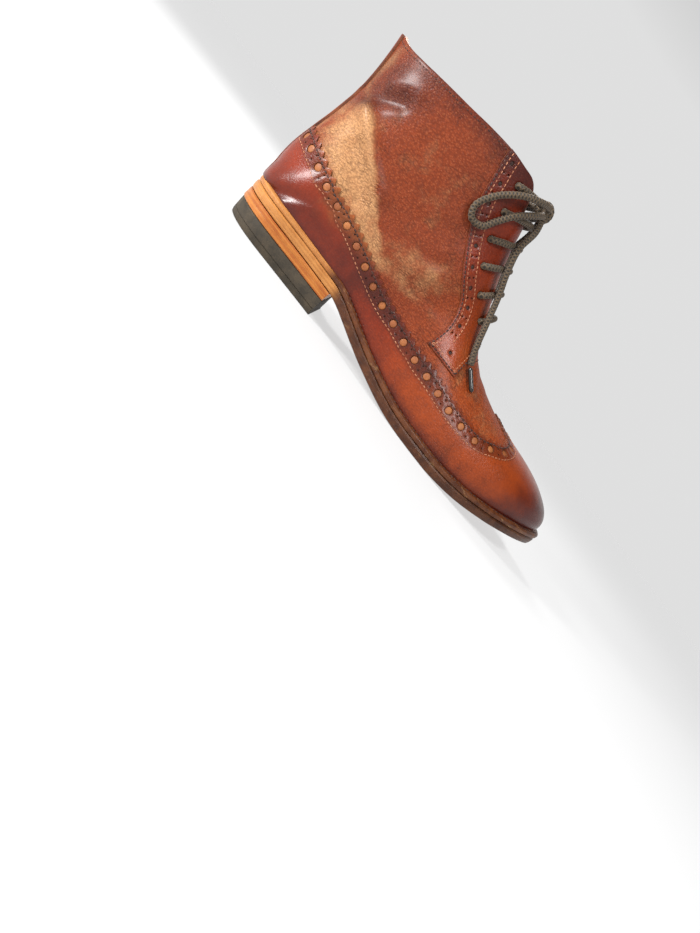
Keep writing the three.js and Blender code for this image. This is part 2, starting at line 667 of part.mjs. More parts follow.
addPart("upper", upper(), LEATHER, 0.45);
addPart("tongue", tongue(), 0x7a3a1c, 0.6);
addPart("insole", insole(), 0xb08050, 0.8);
addPart("welt", welt(), 0x7a4524, 0.6);
addPart("outsole", outsole(), 0x5a3520, 0.7);
addPart("heel_lift", heelLift(), NATURAL, 0.6);
addPart("heel_top_piece", topPiece(), 0x3c3b32, 0.85);
addPart("wing_overlay", wing(), BURNISHED, 0.4);
addPart("facing_outer", facing(-1), BURNISHED, 0.45);
addPart("facing_inner", facing(1), BURNISHED, 0.45);
addPart("back_stay", backStay(), BURNISHED, 0.45);
LACE_ROWS.slice(1).forEach((place, i) => addPart(`lace_bar_${i + 1}`, laceBar(place), CORD, 0.9));
addPart("lace_knot", knot(), CORD, 0.9);
for (const [name, side] of [["outer", -1], ["inner", 1]]) {
  addPart(`lace_top_${name}`, laceTop(side), CORD, 0.9);
  addPart(`lace_loop_${name}`, cord(route(LOOP, side), LACE, 28), CORD, 0.9);
  addPart(`lace_end_${name}`, cord(route(END, side), LACE, 20), CORD, 0.9);
  addPart(`lace_tag_${name}`, cord(route(TAG_ROUTE, side), TAG, 4), 0x2c2824, 0.4);
}

// The origin is under the middle of the boot without its bow.
const box = new THREE.Box3();
const isBow = ({ name }) => /^lace_(knot|loop|end|tag)/.test(name);
group.children.filter((part) => !isBow(part)).forEach((part) => box.expandByObject(part));
group.children.forEach((part) => part.geometry.translate(-(box.min.x + box.max.x) / 2, -(box.min.y + box.max.y) / 2, 0));

export default group;
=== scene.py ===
"""A right-foot long-wing brogue boot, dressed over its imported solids.

Sizes are millimetres in the boot's own frame: x from the back of the heel to the toe, y to the inner
side of the foot, z up from the floor. placed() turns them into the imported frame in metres.
A spot is a place on the last: a row of its sections and an angle in degrees from the ridge over the
instep, 90 at the widest place, 180 at the back seam or under the foot, the outer side negative.
"""

import math

import bmesh
import bpy
import numpy as np
from mathutils import Matrix, Vector
from mathutils.geometry import delaunay_2d_cdt
from mathutils.kdtree import KDTree


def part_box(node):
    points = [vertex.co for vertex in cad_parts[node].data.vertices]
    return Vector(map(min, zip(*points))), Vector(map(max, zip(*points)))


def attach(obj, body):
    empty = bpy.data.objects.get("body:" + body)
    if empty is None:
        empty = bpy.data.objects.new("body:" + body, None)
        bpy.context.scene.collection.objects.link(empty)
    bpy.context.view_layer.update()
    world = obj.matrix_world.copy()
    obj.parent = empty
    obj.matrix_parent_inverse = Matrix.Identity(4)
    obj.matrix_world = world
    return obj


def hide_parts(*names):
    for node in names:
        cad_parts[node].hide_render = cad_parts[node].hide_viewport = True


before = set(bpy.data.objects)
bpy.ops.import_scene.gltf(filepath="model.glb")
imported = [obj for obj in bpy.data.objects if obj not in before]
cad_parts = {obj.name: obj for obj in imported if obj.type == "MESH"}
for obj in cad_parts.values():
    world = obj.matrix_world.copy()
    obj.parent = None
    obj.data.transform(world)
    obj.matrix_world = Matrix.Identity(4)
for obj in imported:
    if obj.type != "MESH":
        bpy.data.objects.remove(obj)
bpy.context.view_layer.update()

# Driving sizes
SOLE_LENGTH, BALL_WIDTH, ANKLE_WIDTH, UPPER_RISE = 302.0, 105.0, 66.0, 135.0
TOE_SPRING, HEEL_LENGTH, RUBBER, LIFT, OUTSOLE, WELT = 17.0, 83.0, 12.0, 7.5, 6.3, 4.2
WELT_EDGE, RAND_EDGE, WALL, OVERLAY, TONGUE, GAP = 6.0, 2.0, 2.2, 0.9, 2.0, 0.3
THROAT_TOP, THROAT_BASE, STAY_WIDTH = 9.5, 13.0, 15.0
LACE, LACE_HOLE, LACE_RISE, TAG = 3.6, 4.8, 5.5, 3.0
SOLE_ROWS, UNDERCUT, FEATHER_INSET = 12, 4.0, 1.5
HEEL_ROUND, TOE_ROUND, END_POWER = 0.115, 0.76, 2.3
TOE_CROWN, CROWN_POWER = 0.82, 2.2
RAND_TO_WELT = (0.2, 0.36)  # length shares over which the rand widens into the welt
NEARLY = 0.99999  # keeps the toe's end a hair short of its tip

# Sole outline: length share, middle line and half width in ball widths
SOLE_OUTLINE = np.array([
    (0, 0, 0.335), (0.115, -0.005, 0.333), (0.23, -0.018, 0.318), (0.33, -0.045, 0.306), (0.43, -0.07, 0.328),
    (0.53, -0.072, 0.395), (0.62, -0.05, 0.465), (0.7, -0.02, 0.497), (0.78, 0, 0.487), (0.88, 0.03, 0.455),
    (1, 0.07, 0.41),
])
# Underside of the outsole: length share, share of the heel height, share of the toe spring
UNDERSIDE = np.array([
    (0, 1, 0), (0.18, 1, 0), (0.273, 0.97, 0), (0.303, 0.88, 0), (0.343, 0.7, 0), (0.374, 0.55, 0),
    (0.414, 0.38, 0), (0.455, 0.24, 0), (0.495, 0.12, 0), (0.535, 0.035, 0), (0.58, 0, 0), (0.625, 0, 0),
    (0.67, 0, 0), (0.75, 0, 0.13), (0.83, 0, 0.41), (0.92, 0, 0.76), (1, 0, 1),
])
# Sections of the last, toe to collar: under, lift, over, rise, foot, swell, widest, crown, flank, ridge
SECTIONS = np.array([
    (0.9801, 0, 0.9801, 0.16, 1, 0, 0.4, 2.2, 2.2, 0.05),
    (0.918, 0, 0.918, 0.182, 1, 0, 0.38, 2.2, 2.2, 0.045),
    (0.836, 0, 0.836, 0.226, 1, 0.004, 0.36, 2.15, 2.2, 0.035),
    (0.754, 0, 0.752, 0.278, 1, 0.006, 0.34, 2.05, 2.2, 0.03),
    (0.672, 0, 0.674, 0.328, 1, 0.008, 0.32, 1.95, 2.2, 0.028),
    (0.59, 0, 0.598, 0.388, 1, 0.01, 0.3, 1.95, 2.2, 0.025),
    (0.508, 0, 0.55, 0.472, 1, 0.018, 0.3, 2, 2.2, 0.02),
    (0.42, 0, 0.518, 0.552, 1, 0.026, 0.3, 2.05, 2.2, 0.015),
    (0.33, 0, 0.492, 0.617, 1, 0.03, 0.32, 2.05, 2.2, 0.01),
    (0.235, 0, 0.471, 0.672, 1, 0.026, 0.34, 2.05, 2.2, 0.005),
    (0.145, 0, 0.4555, 0.718, 0.85, 0.016, 0.36, 2.1, 2.2, 0),
    (0.07, 0, 0.4445, 0.758, 0.65, 0.012, 0.38, 2.1, 2.3, 0),
    (0.01, 0, 0.435, 0.793, 0.4, 0.01, 0.4, 2.15, 2.4, 0),
    (-0.001, 0.08, 0.427, 0.826, 0.2, 0.008, 0.42, 2.2, 2.4, 0),
    (-0.005, 0.185, 0.419, 0.86, 0, 0, 0.43, 2.2, 2.4, 0),
    (-0.001, 0.303, 0.411, 0.893, 0, 0, 0.44, 2.2, 2.4, 0),
    (0.004, 0.41, 0.402, 0.921, 0, 0, 0.44, 2.2, 2.3, 0),
    (0.006, 0.525, 0.393, 0.949, 0, 0, 0.44, 2.2, 2.3, 0),
    (0.003, 0.625, 0.385, 0.97, 0, 0, 0.44, 2.3, 2.2, 0),
    (-0.006, 0.735, 0.378, 0.986, 0, 0, 0.45, 2.4, 2.1, 0),
    (-0.017, 0.835, 0.3705, 1, 0, 0, 0.46, 2.5, 2, 0),
    (-0.03, 0.93, 0.364, 1.06, 0, 0, 0.46, 2.5, 2, 0),
])
TOP_ROW = len(SECTIONS) - 1

# Side-view lines: length share, height above the welt as a share of the upper's rise
WING_SIDE = np.array([
    (-0.04, 0.312), (0.017, 0.292), (0.053, 0.268), (0.112, 0.236), (0.168, 0.211), (0.219, 0.194),
    (0.282, 0.163), (0.347, 0.163), (0.414, 0.185), (0.48, 0.203), (0.548, 0.219), (0.616, 0.208),
    (0.688, 0.208), (0.725, 0.226),
])
COLLAR_LINE = np.array([
    (-0.04, 0.85), (-0.017, 0.838), (0, 0.82), (0.023, 0.812), (0.05, 0.814), (0.09, 0.824), (0.17, 0.851),
    (0.23, 0.878), (0.285, 0.905), (0.325, 0.934), (0.351, 0.955), (0.368, 0.95), (0.379, 0.925),
    (0.387, 0.87),
])
FACING_REAR = np.array([
    (0.272, 1.08), (0.282, 0.9), (0.3, 0.793), (0.323, 0.687), (0.36, 0.602), (0.411, 0.521), (0.457, 0.454),
    (0.477, 0.361), (0.476, 0.249),
])
# The wing's edge over the toe, from the valley to the peak: x, and distance out from the ridge
WING_PEAK = np.array([(225.4, 29.0), (228.6, 20.5), (227.4, 14.5), (223.5, 9.6), (218.4, 4.6), (214.4, 0.0)])
THROAT_AT, THROAT_RISE = 0.552, 0.44
LACE_ROWS = [(17.25, 40), (14.65, 38.5), (12.05, 35), (9.8, 35), (8.2, 34), (6.95, 28)]


# The last

def smoothstep(value, low, high):
    t = np.clip((np.asarray(value, float) - low) / (high - low), 0, 1)
    return t * t * (3 - 2 * t)


def smooth_at(values, row):
    """Smooth value of a table's column at fractional rows."""
    values = np.asarray(values, float)
    last = len(values) - 1
    r = np.clip(row, 0, last)
    i = np.minimum(np.floor(r).astype(int), last - 1)
    f = r - i
    a, b, c, d = (values[np.clip(i + k, 0, last)] for k in (-1, 0, 1, 2))
    return b + 0.5 * f * (c - a + f * (2 * a - 5 * b + 4 * c - d + f * (3 * (b - c) + d - a)))


def along(table, column, share):
    """Smooth value of a column at places along the table's first column."""
    at = table[:, 0]
    i = np.clip(np.searchsorted(at, share) - 1, 0, len(at) - 2)
    return smooth_at(table[:, column], i + np.clip((share - at[i]) / (at[i + 1] - at[i]), 0, 1))


def round_end(share, start, end, power):
    return (1 - np.clip((share - start) / (end - start), 0, 1) ** power) ** (1 / power)


def underside(x):
    share = np.clip(np.asarray(x, float) / SOLE_LENGTH, 0, 1)
    heel, toe = (np.maximum(along(UNDERSIDE, k, share), 0) for k in (1, 2))
    return heel * (RUBBER + LIFT) + toe * TOE_SPRING


def feather(x):
    """Height where the upper meets the welt."""
    return underside(x) + OUTSOLE + WELT


class Section:
    """The frame of the last's sections at fractional rows, as arrays."""

    def __init__(self, row):
        get = [smooth_at(SECTIONS[:, k], row) for k in range(10)]
        under, lift, over, rise, foot, swell, self.widest, self.crown, self.flank, ridge = get
        share = np.clip(under, 0, 1)
        on_sole = 1 - smoothstep(row, SOLE_ROWS, SOLE_ROWS + 1)
        tip = (SOLE_LENGTH - WELT_EDGE) / SOLE_LENGTH
        most = NEARLY * tip
        toe = round_end(np.minimum(share, most), TOE_ROUND, tip, END_POWER)
        heel = round_end(HEEL_ROUND - share, 0, HEEL_ROUND, END_POWER)
        lowering = round_end(np.minimum(over, most), TOE_CROWN, tip, CROWN_POWER)
        self.x0 = SOLE_LENGTH * np.minimum(under, most)
        self.x1 = SOLE_LENGTH * np.minimum(over, most)
        self.z0 = feather(self.x0) + UPPER_RISE * lift - UNDERCUT * on_sole
        self.z1 = feather(self.x1) + UPPER_RISE * rise * lowering
        edge = RAND_EDGE + (WELT_EDGE - RAND_EDGE) * smoothstep(share, *RAND_TO_WELT)
        sole_half = BALL_WIDTH * along(SOLE_OUTLINE, 2, share) - edge
        self.half = foot * (sole_half + BALL_WIDTH * swell) * toe + (1 - foot) * ANKLE_WIDTH / 2
        closed = smoothstep(row, SOLE_ROWS - 1, SOLE_ROWS)  # the heel seat is rounded off behind this row
        flat = (sole_half * toe * heel - FEATHER_INSET) * on_sole * (1 - closed)
        self.flat = np.maximum(np.minimum(flat, self.half - 1), 0)
        self.flank = self.flank + 0.8 * closed * on_sole
        self.low = BALL_WIDTH * along(SOLE_OUTLINE, 1, share) * on_sole
        self.ridge = BALL_WIDTH * ridge

    def middle(self, height):
        return self.low + (self.ridge - self.low) * height


def place(row, angle):
    """Points of the last at spots."""
    row, angle = np.broadcast_arrays(np.asarray(row, float), np.asarray(angle, float))
    s = Section(row)
    turned = (angle + 180) % 360 - 180
    turn = np.radians(np.abs(turned))
    low = turn > math.pi / 2
    power = 2 / np.where(low, s.flank, s.crown)
    height = s.widest + np.where(low, -s.widest, 1 - s.widest) * np.abs(np.cos(turn)) ** power
    base = np.where(low, s.flat, 0)
    out = base + (s.half - base) * np.abs(np.sin(turn)) ** power
    x = s.x0 + (s.x1 - s.x0) * height
    z = s.z0 + (s.z1 - s.z0) * height
    return np.stack([x, s.middle(height) + np.sign(turned) * out, z], -1)


def slopes(row, angle):
    """How a point of the last moves for one row and for one degree."""
    step, turn = 0.04, 0.9
    ahead, behind = np.minimum(row + step, TOP_ROW), np.maximum(row - step, 0)
    by_row = (place(ahead, angle) - place(behind, angle)) / (ahead - behind)[..., None]
    by_angle = (place(row, angle + turn) - place(row, angle - turn)) / (2 * turn)
    return by_row, by_angle


def normal(row, angle):
    by_row, by_angle = slopes(np.asarray(row, float), np.asarray(angle, float))
    out = np.cross(by_angle, by_row)
    return out / np.maximum(np.linalg.norm(out, axis=-1, keepdims=True), 1e-9)


FAN = np.linspace(0, TOP_ROW, 1261)
FAN_AT = Section(FAN)


def from_side(x, z, side):
    """Spots of points seen from the side, and the height share in their section, unclipped."""
    x, z = np.atleast_1d(x).astype(float), np.atleast_1d(z).astype(float)
    f = FAN_AT
    over = (f.x1 - f.x0) * (z[:, None] - f.z0) - (f.z1 - f.z0) * (x[:, None] - f.x0)
    i = np.where((over <= 0).any(1), (over <= 0).argmax(1), len(FAN) - 1)
    j, k = np.maximum(i - 1, 0), np.arange(len(x))
    t = over[k, j] / np.where(i > j, over[k, j] - over[k, i], 1)
    row = FAN[j] + np.clip(t, 0, 1) * (FAN[i] - FAN[j])
    s = Section(row)
    dx, dz = s.x1 - s.x0, s.z1 - s.z0
    height = ((x - s.x0) * dx + (z - s.z0) * dz) / (dx * dx + dz * dz)
    high = height >= s.widest
    share = np.where(high, (height - s.widest) / (1 - s.widest), (s.widest - height) / s.widest)
    turn = np.degrees(np.arccos(np.clip(share, 0, 1) ** (np.where(high, s.crown, s.flank) / 2)))
    return np.stack([row, side * np.where(high, turn, 180 - turn)], -1), height


def at_y(row, y):
    """Angles over the instep where the section is y from the middle plane."""
    s = Section(row)
    height = np.ones_like(row)
    for _ in range(12):
        out = np.abs(y - s.middle(height)) / s.half
        turn = np.arcsin(np.clip(out, 0, 1) ** (s.crown / 2))
        height = s.widest + (1 - s.widest) * np.cos(turn) ** (2 / s.crown)
    return np.sign(y - s.middle(height)) * np.degrees(turn)


def from_above(x, y):
    """Spots of points over the foot, seen from above."""
    x, y = np.atleast_1d(x).astype(float), np.atleast_1d(y).astype(float)
    z = feather(x) + 25
    for _ in range(8):
        row = from_side(x, z, 1)[0][:, 0]
        angle = at_y(row, y)
        z = place(row, angle)[:, 2]
    return np.stack([row, angle], -1)


def from_front(y, z):
    """Spots of points over the throat, seen from the front."""
    y, z = np.atleast_1d(y).astype(float), np.atleast_1d(z).astype(float)
    low, high = np.full(len(y), 3.0), np.full(len(y), float(TOP_ROW))
    for _ in range(30):
        row = (low + high) / 2
        under = place(row, at_y(row, y))[:, 2] < z
        low, high = np.where(under, row, low), np.where(under, high, row)
    return np.stack([row, at_y(row, y)], -1)


def side_line(table, steps):
    """x and z of a side-view table's smooth line."""
    at = np.linspace(0, len(table) - 1, steps)
    x = SOLE_LENGTH * table[:, 0]
    z = feather(x) + UPPER_RISE * table[:, 1]
    return smooth_at(x, at), smooth_at(z, at)


# Lines of spots

def run_length(points):
    return np.concatenate([[0], np.cumsum(np.linalg.norm(np.diff(points, axis=0), axis=1))])


def even(line, step):
    """The line again, with spots the same distance apart on the last."""
    line = np.asarray(line, float)
    fine_at = np.linspace(0, len(line) - 1, 12 * len(line))
    fine = np.stack([np.interp(fine_at, np.arange(len(line)), c) for c in line.T], -1)
    run = run_length(place(*fine.T))
    at = np.linspace(0, run[-1], max(2, round(run[-1] / step) + 1))
    return np.stack([np.interp(at, run, c) for c in fine.T], -1)


def smooth_line(spots, step):
    spots = np.asarray(spots, float)
    at = np.linspace(0, len(spots) - 1, 16 * len(spots))
    return even(np.stack([smooth_at(c, at) for c in spots.T], -1), step)


def moved(spots, shift):
    """Spots after a shift in millimetres along the surface."""
    spots = np.array(spots, float)
    for _ in range(4):
        r, a = slopes(spots[:, 0], spots[:, 1])
        rr, aa, ra = (r * r).sum(-1), (a * a).sum(-1), (r * a).sum(-1)
        rv, av = (r * shift).sum(-1) / 4, (a * shift).sum(-1) / 4
        det = np.maximum(rr * aa - ra * ra, 1e-9)
        spots += np.stack([aa * rv - ra * av, rr * av - ra * rv], -1) / det[:, None]
        spots[:, 0] = np.clip(spots[:, 0], 0, TOP_ROW)
    return spots


def beside(line, distance):
    """A line of spots moved sideways on the surface, to the left of its run seen from outside."""
    points = place(*line.T)
    ahead = np.gradient(points, axis=0)
    left = np.cross(normal(*line.T), ahead)
    left /= np.maximum(np.linalg.norm(left, axis=1, keepdims=True), 1e-9)
    return moved(line, left * np.broadcast_to(distance, len(line))[:, None])


def ring(spot, radius, count):
    """A round hole's edge about a spot."""
    spot = np.asarray(spot, float).reshape(1, 2)
    r, a = slopes(spot[:, 0], spot[:, 1])
    across = a[0] / np.linalg.norm(a[0])
    up = np.cross(normal(spot[:, 0], spot[:, 1])[0], across)
    turn = np.linspace(0, 2 * math.pi, count, endpoint=False)
    shift = radius * (np.cos(turn)[:, None] * across + np.sin(turn)[:, None] * up)
    return moved(np.repeat(spot, count, 0), shift)


def every(line, pitch, first=0.0):
    """Spots a pitch apart along a line, from a first distance on."""
    run = run_length(place(*line.T))
    at = np.arange(first, run[-1], pitch)
    return np.stack([np.interp(at, run, c) for c in line.T], -1)


def mirrored(line):
    return np.asarray(line) * (1, -1)


def between(low, high, test):
    """Halves an interval until test, true above the answer, changes there."""
    for _ in range(40):
        mid = (low + high) / 2
        above = test(mid)
        low, high = np.where(above, low, mid), np.where(above, mid, high)
    return (low + high) / 2


SEATED = 0.5  # how far the upper reaches into the welt


def seat_height(row, angle):
    p = place(row, angle)
    return p[..., 2] - feather(p[..., 0]) + SEATED


def feather_line(last_row):
    """Where the inner side of the upper meets the welt, from the toe back to a row."""
    rows = last_row - last_row * np.linspace(1, 0, 240) ** 2
    rows = np.concatenate([np.linspace(0, 1, 30)[:-1] ** 2, rows[rows > 1]])
    angles = between(np.full(len(rows), 91.0), np.full(len(rows), 180.0), lambda a: seat_height(rows, a) < 0)
    return np.stack([rows, angles], -1)


# The row whose back just reaches down into the welt
HEEL_ROW = float(between(
    np.array(12.0), np.array(13.0), lambda r: seat_height(r, np.full_like(r, 180.0)) > 0,
))


def at_stay(row, y):
    """Angle near the back seam where the section is y from the middle plane."""
    s = Section(row)
    return 180 - np.degrees(np.arcsin((y / s.half) ** (s.flank / 2)))


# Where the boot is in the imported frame
outline_y = []
for share in 0.5 - 0.5 * np.cos(np.linspace(0, math.pi, 31)):
    ends = round_end(HEEL_ROUND - share, 0, HEEL_ROUND, END_POWER)
    ends *= round_end(share, TOE_ROUND, 1, END_POWER)
    outline_y.append(BALL_WIDTH * (along(SOLE_OUTLINE, 1, share) - along(SOLE_OUTLINE, 2, share) * ends))
sole_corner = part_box("outsole")[0]
SHIFT = np.array([sole_corner.x * 1000, sole_corner.y * 1000 - min(outline_y), 0.0])


def placed(points):
    return (np.asarray(points, float) + SHIFT) / 1000


# Camera of the photograph
camera = bpy.data.objects.new("camera", bpy.data.cameras.new("camera"))
bpy.context.scene.collection.objects.link(camera)
bpy.context.scene.camera = camera
SENSOR, FOCUS_IN_PICTURE, PICTURE_HEIGHT = 36, 705, 933
CAMERA_AT = np.array([101.54, -473.31, 72.09])
CAMERA_TURN = (9.6847, 14.1049, 53.2649)  # degrees round, down and rolled
camera.data.sensor_width = SENSOR
camera.data.lens = SENSOR * FOCUS_IN_PICTURE / PICTURE_HEIGHT
azimuth, elevation, roll = (math.radians(a) for a in CAMERA_TURN)
level = math.cos(elevation)
ahead = Vector((math.sin(azimuth) * level, math.cos(azimuth) * level, -math.sin(elevation)))
level_right = ahead.cross(Vector((0, 0, 1))).normalized()
level_up = level_right.cross(ahead)
right = math.cos(roll) * level_right + math.sin(roll) * level_up
up = -math.sin(roll) * level_right + math.cos(roll) * level_up
turned = Matrix((right, up, -ahead)).transposed()
camera.matrix_world = Matrix.Translation(placed(CAMERA_AT)) @ turned.to_4x4()
camera.data.clip_start, camera.data.clip_end = 0.02, 20


# Meshes

def add_mesh(name, points, faces, finishes, slots=None, values=None, uv=None, crease=38.0):
    """A mesh piece from points in the boot's frame, riding on the boot."""
    mesh = bpy.data.meshes.new(name)
    mesh.from_pydata([tuple(p) for p in placed(points)], [], [tuple(int(i) for i in f) for f in faces])
    mesh.validate()
    for finish in finishes:
        mesh.materials.append(finish)
    if slots is not None:
        mesh.polygons.foreach_set("material_index", np.asarray(slots, np.int32))
    for key, value in (values or {}).items():
        mesh.attributes.new(key, "FLOAT", "POINT").data.foreach_set("value", np.asarray(value, np.float32))
    if uv is not None:
        corners = np.zeros(len(mesh.loops), np.int32)
        mesh.loops.foreach_get("vertex_index", corners)
        mesh.uv_layers.new(name="run").data.foreach_set("uv", np.asarray(uv, np.float32)[corners].ravel())
    mesh.polygons.foreach_set("use_smooth", np.ones(len(mesh.polygons), bool))
    if crease:
        mesh.set_sharp_from_angle(angle=math.radians(crease))
    piece = bpy.data.objects.new(name, mesh)
    bpy.context.scene.collection.objects.link(piece)
    return piece


def centripetal(points, count):
    """Points along the smooth curve through corners that the solids' cords follow."""
    p = np.asarray(points, float)
    p = np.vstack([2 * p[0] - p[1], p, 2 * p[-1] - p[-2]])
    out = []
    spans = len(p) - 3
    for u in np.linspace(0, spans, count):
        i = min(int(u), spans - 1)
        a, b, c, d = p[i:i + 4]
        t = u - i
        ab, bc, cd = (max(np.linalg.norm(q) ** 0.5, 1e-6) for q in (b - a, c - b, d - c))
        m1 = ((b - a) / ab - (c - a) / (ab + bc) + (c - b) / bc) * bc
        m2 = ((c - b) / bc - (d - b) / (bc + cd) + (d - c) / cd) * bc
        out.append(b + t * m1 + t * t * (3 * (c - b) - 2 * m1 - m2) + t ** 3 * (2 * (b - c) + m1 + m2))
    return np.array(out)


BRAID_TURN = 2.9  # radians that the braid turns in a millimetre
BRAID_STRANDS = 3


def swept(path, radius, sides, weave, round_ends=(0, 0)):
    """Points, faces and run of a round cord along a path, with the height of its braid."""
    path = np.asarray(path, float)
    run = run_length(path)
    ahead = np.gradient(path, axis=0)
    ahead /= np.linalg.norm(ahead, axis=1)[:, None]
    side = np.cross(ahead[0], (0, 0, 1.0))
    side = side / np.linalg.norm(side) if np.linalg.norm(side) > 0.1 else np.array([0, 1.0, 0])
    turn = np.linspace(0, 2 * math.pi, sides, endpoint=False)
    points, uv = [], []
    for i, (p, t) in enumerate(zip(path, ahead)):
        side = side - t * (side @ t)
        side /= np.linalg.norm(side)
        other = np.cross(t, side)
        size = radius
        for gap, far in ((run[i], round_ends[0]), (run[-1] - run[i], round_ends[1])):
            if far:
                size *= math.sqrt(max(1 - max(1 - gap / far, 0) ** 2, 0.02))
        twist = run[i] * BRAID_TURN
        strand = np.maximum(np.sin(twist + BRAID_STRANDS * turn), np.sin(twist - BRAID_STRANDS * turn))
        reach = size + weave * (strand - 0.75)
        ring_way = np.cos(turn)[:, None] * side + np.sin(turn)[:, None] * other
        points.append(p + reach[:, None] * ring_way)
        uv += [(run[i], k / sides) for k in range(sides)]
    n = len(path)
    faces = []
    for i in range(0, (n - 1) * sides, sides):
        for k in range(sides):
            after = (k + 1) % sides
            faces.append((i + k, i + after, i + sides + after, i + sides + k))
    faces += [tuple(range(sides))[::-1], tuple((n - 1) * sides + k for k in range(sides))]
    return np.concatenate(points), faces, uv


def joined(parts):
    """Several sets of points, faces and runs as one."""
    points, faces, uv, start = [], [], [], 0
    for p, f, u in parts:
        points.append(p)
        faces += [tuple(start + i for i in face) for face in f]
        uv += u
        start += len(p)
    return np.concatenate(points), faces, uv


# Finishes

def tint(code):
    """Linear colour of a hex code."""
    parts = [int(code[i:i + 2], 16) / 255 for i in (0, 2, 4)]
    return (*[c / 12.92 if c <= 0.04045 else ((c + 0.055) / 1.055) ** 2.4 for c in parts], 1.0)


class Shade:
    """A number that varies over a finish, with arithmetic."""

    def __init__(self, finish, socket):
        self.finish, self.socket = finish, socket

    def maths(self, operation, first, second=None):
        values = {0: first} if second is None else {0: first, 1: second}
        return self.finish.add("ShaderNodeMath", {"operation": operation}, values)

    def __add__(self, other):
        return self.maths("ADD", self, other)

    def __sub__(self, other):
        return self.maths("SUBTRACT", self, other)

    def __rsub__(self, other):
        return self.maths("SUBTRACT", other, self)

    def __mul__(self, other):
        return self.maths("MULTIPLY", self, other)

    __radd__, __rmul__ = __add__, __mul__

    def clipped(self):
        return self.finish.add("ShaderNodeClamp", {}, {0: self})

    def over(self, low, high):
        """0 to 1, softly, as the number goes from low to high."""
        values = {0: self, 1: low, 2: high}
        return self.finish.add("ShaderNodeMapRange", {"interpolation_type": "SMOOTHSTEP"}, values)

    def sine(self):
        return self.maths("SINE", self)

    def largest(self, other):
        return self.maths("MAXIMUM", self, other)


class Finish:
    """A material, drawn up node by node."""

    def __init__(self, name):
        self.material = bpy.data.materials.new(name)
        self.material.use_nodes = True
        self.tree = self.material.node_tree
        self.shader = self.tree.nodes["Principled BSDF"]
        self.place = self.add("ShaderNodeTexCoord", {}, {}, "Object")

    def add(self, kind, settings, values, output=0):
        """One output of a new node, whose settings are made first and its sockets set or linked then."""
        node = self.tree.nodes.new(kind)
        for key, value in settings.items():
            setattr(node, key, value)
        for key, value in values.items():
            if isinstance(value, Shade):
                self.tree.links.new(value.socket, node.inputs[key])
            else:
                node.inputs[key].default_value = value
        return Shade(self, node.outputs[output])

    def attribute(self, name):
        return self.add("ShaderNodeAttribute", {"attribute_name": name}, {}, "Fac")

    def stretched(self, scale, turn=(0, 0, 0)):
        return self.add("ShaderNodeMapping", {}, {"Vector": self.place, "Scale": scale, "Rotation": turn})

    def noise(self, scale, detail, rough=0.55, vector=None, warp=0.0):
        values = {"Vector": vector or self.place, "Scale": scale, "Detail": detail}
        values.update({"Roughness": rough, "Distortion": warp})
        return self.add("ShaderNodeTexNoise", {}, values, "Fac")

    def cells(self, scale, vector, feature="F1", soft=None):
        values = {"Vector": vector, "Scale": scale}
        if soft:
            values["Smoothness"] = soft
        return self.add("ShaderNodeTexVoronoi", {"feature": feature}, values, "Distance")

    def mix(self, amount, first, second):
        """Two colours mixed."""
        return self.add("ShaderNodeMix", {"data_type": "RGBA"}, {0: amount, 6: first, 7: second}, 2)

    def parts(self, vector):
        """The three numbers of a vector."""
        first = self.add("ShaderNodeSeparateXYZ", {}, {0: vector})
        return [Shade(self, output) for output in first.socket.node.outputs]

    def bump(self, height, distance, strength):
        return self.add("ShaderNodeBump", {}, {"Height": height, "Distance": distance, "Strength": strength})

    def set(self, **values):
        """Sockets of the shader, with _ for a space."""
        for key, value in values.items():
            socket = self.shader.inputs[key.replace("_", " ")]
            if isinstance(value, Shade):
                self.tree.links.new(value.socket, socket)
            else:
                socket.default_value = value
        return self.material


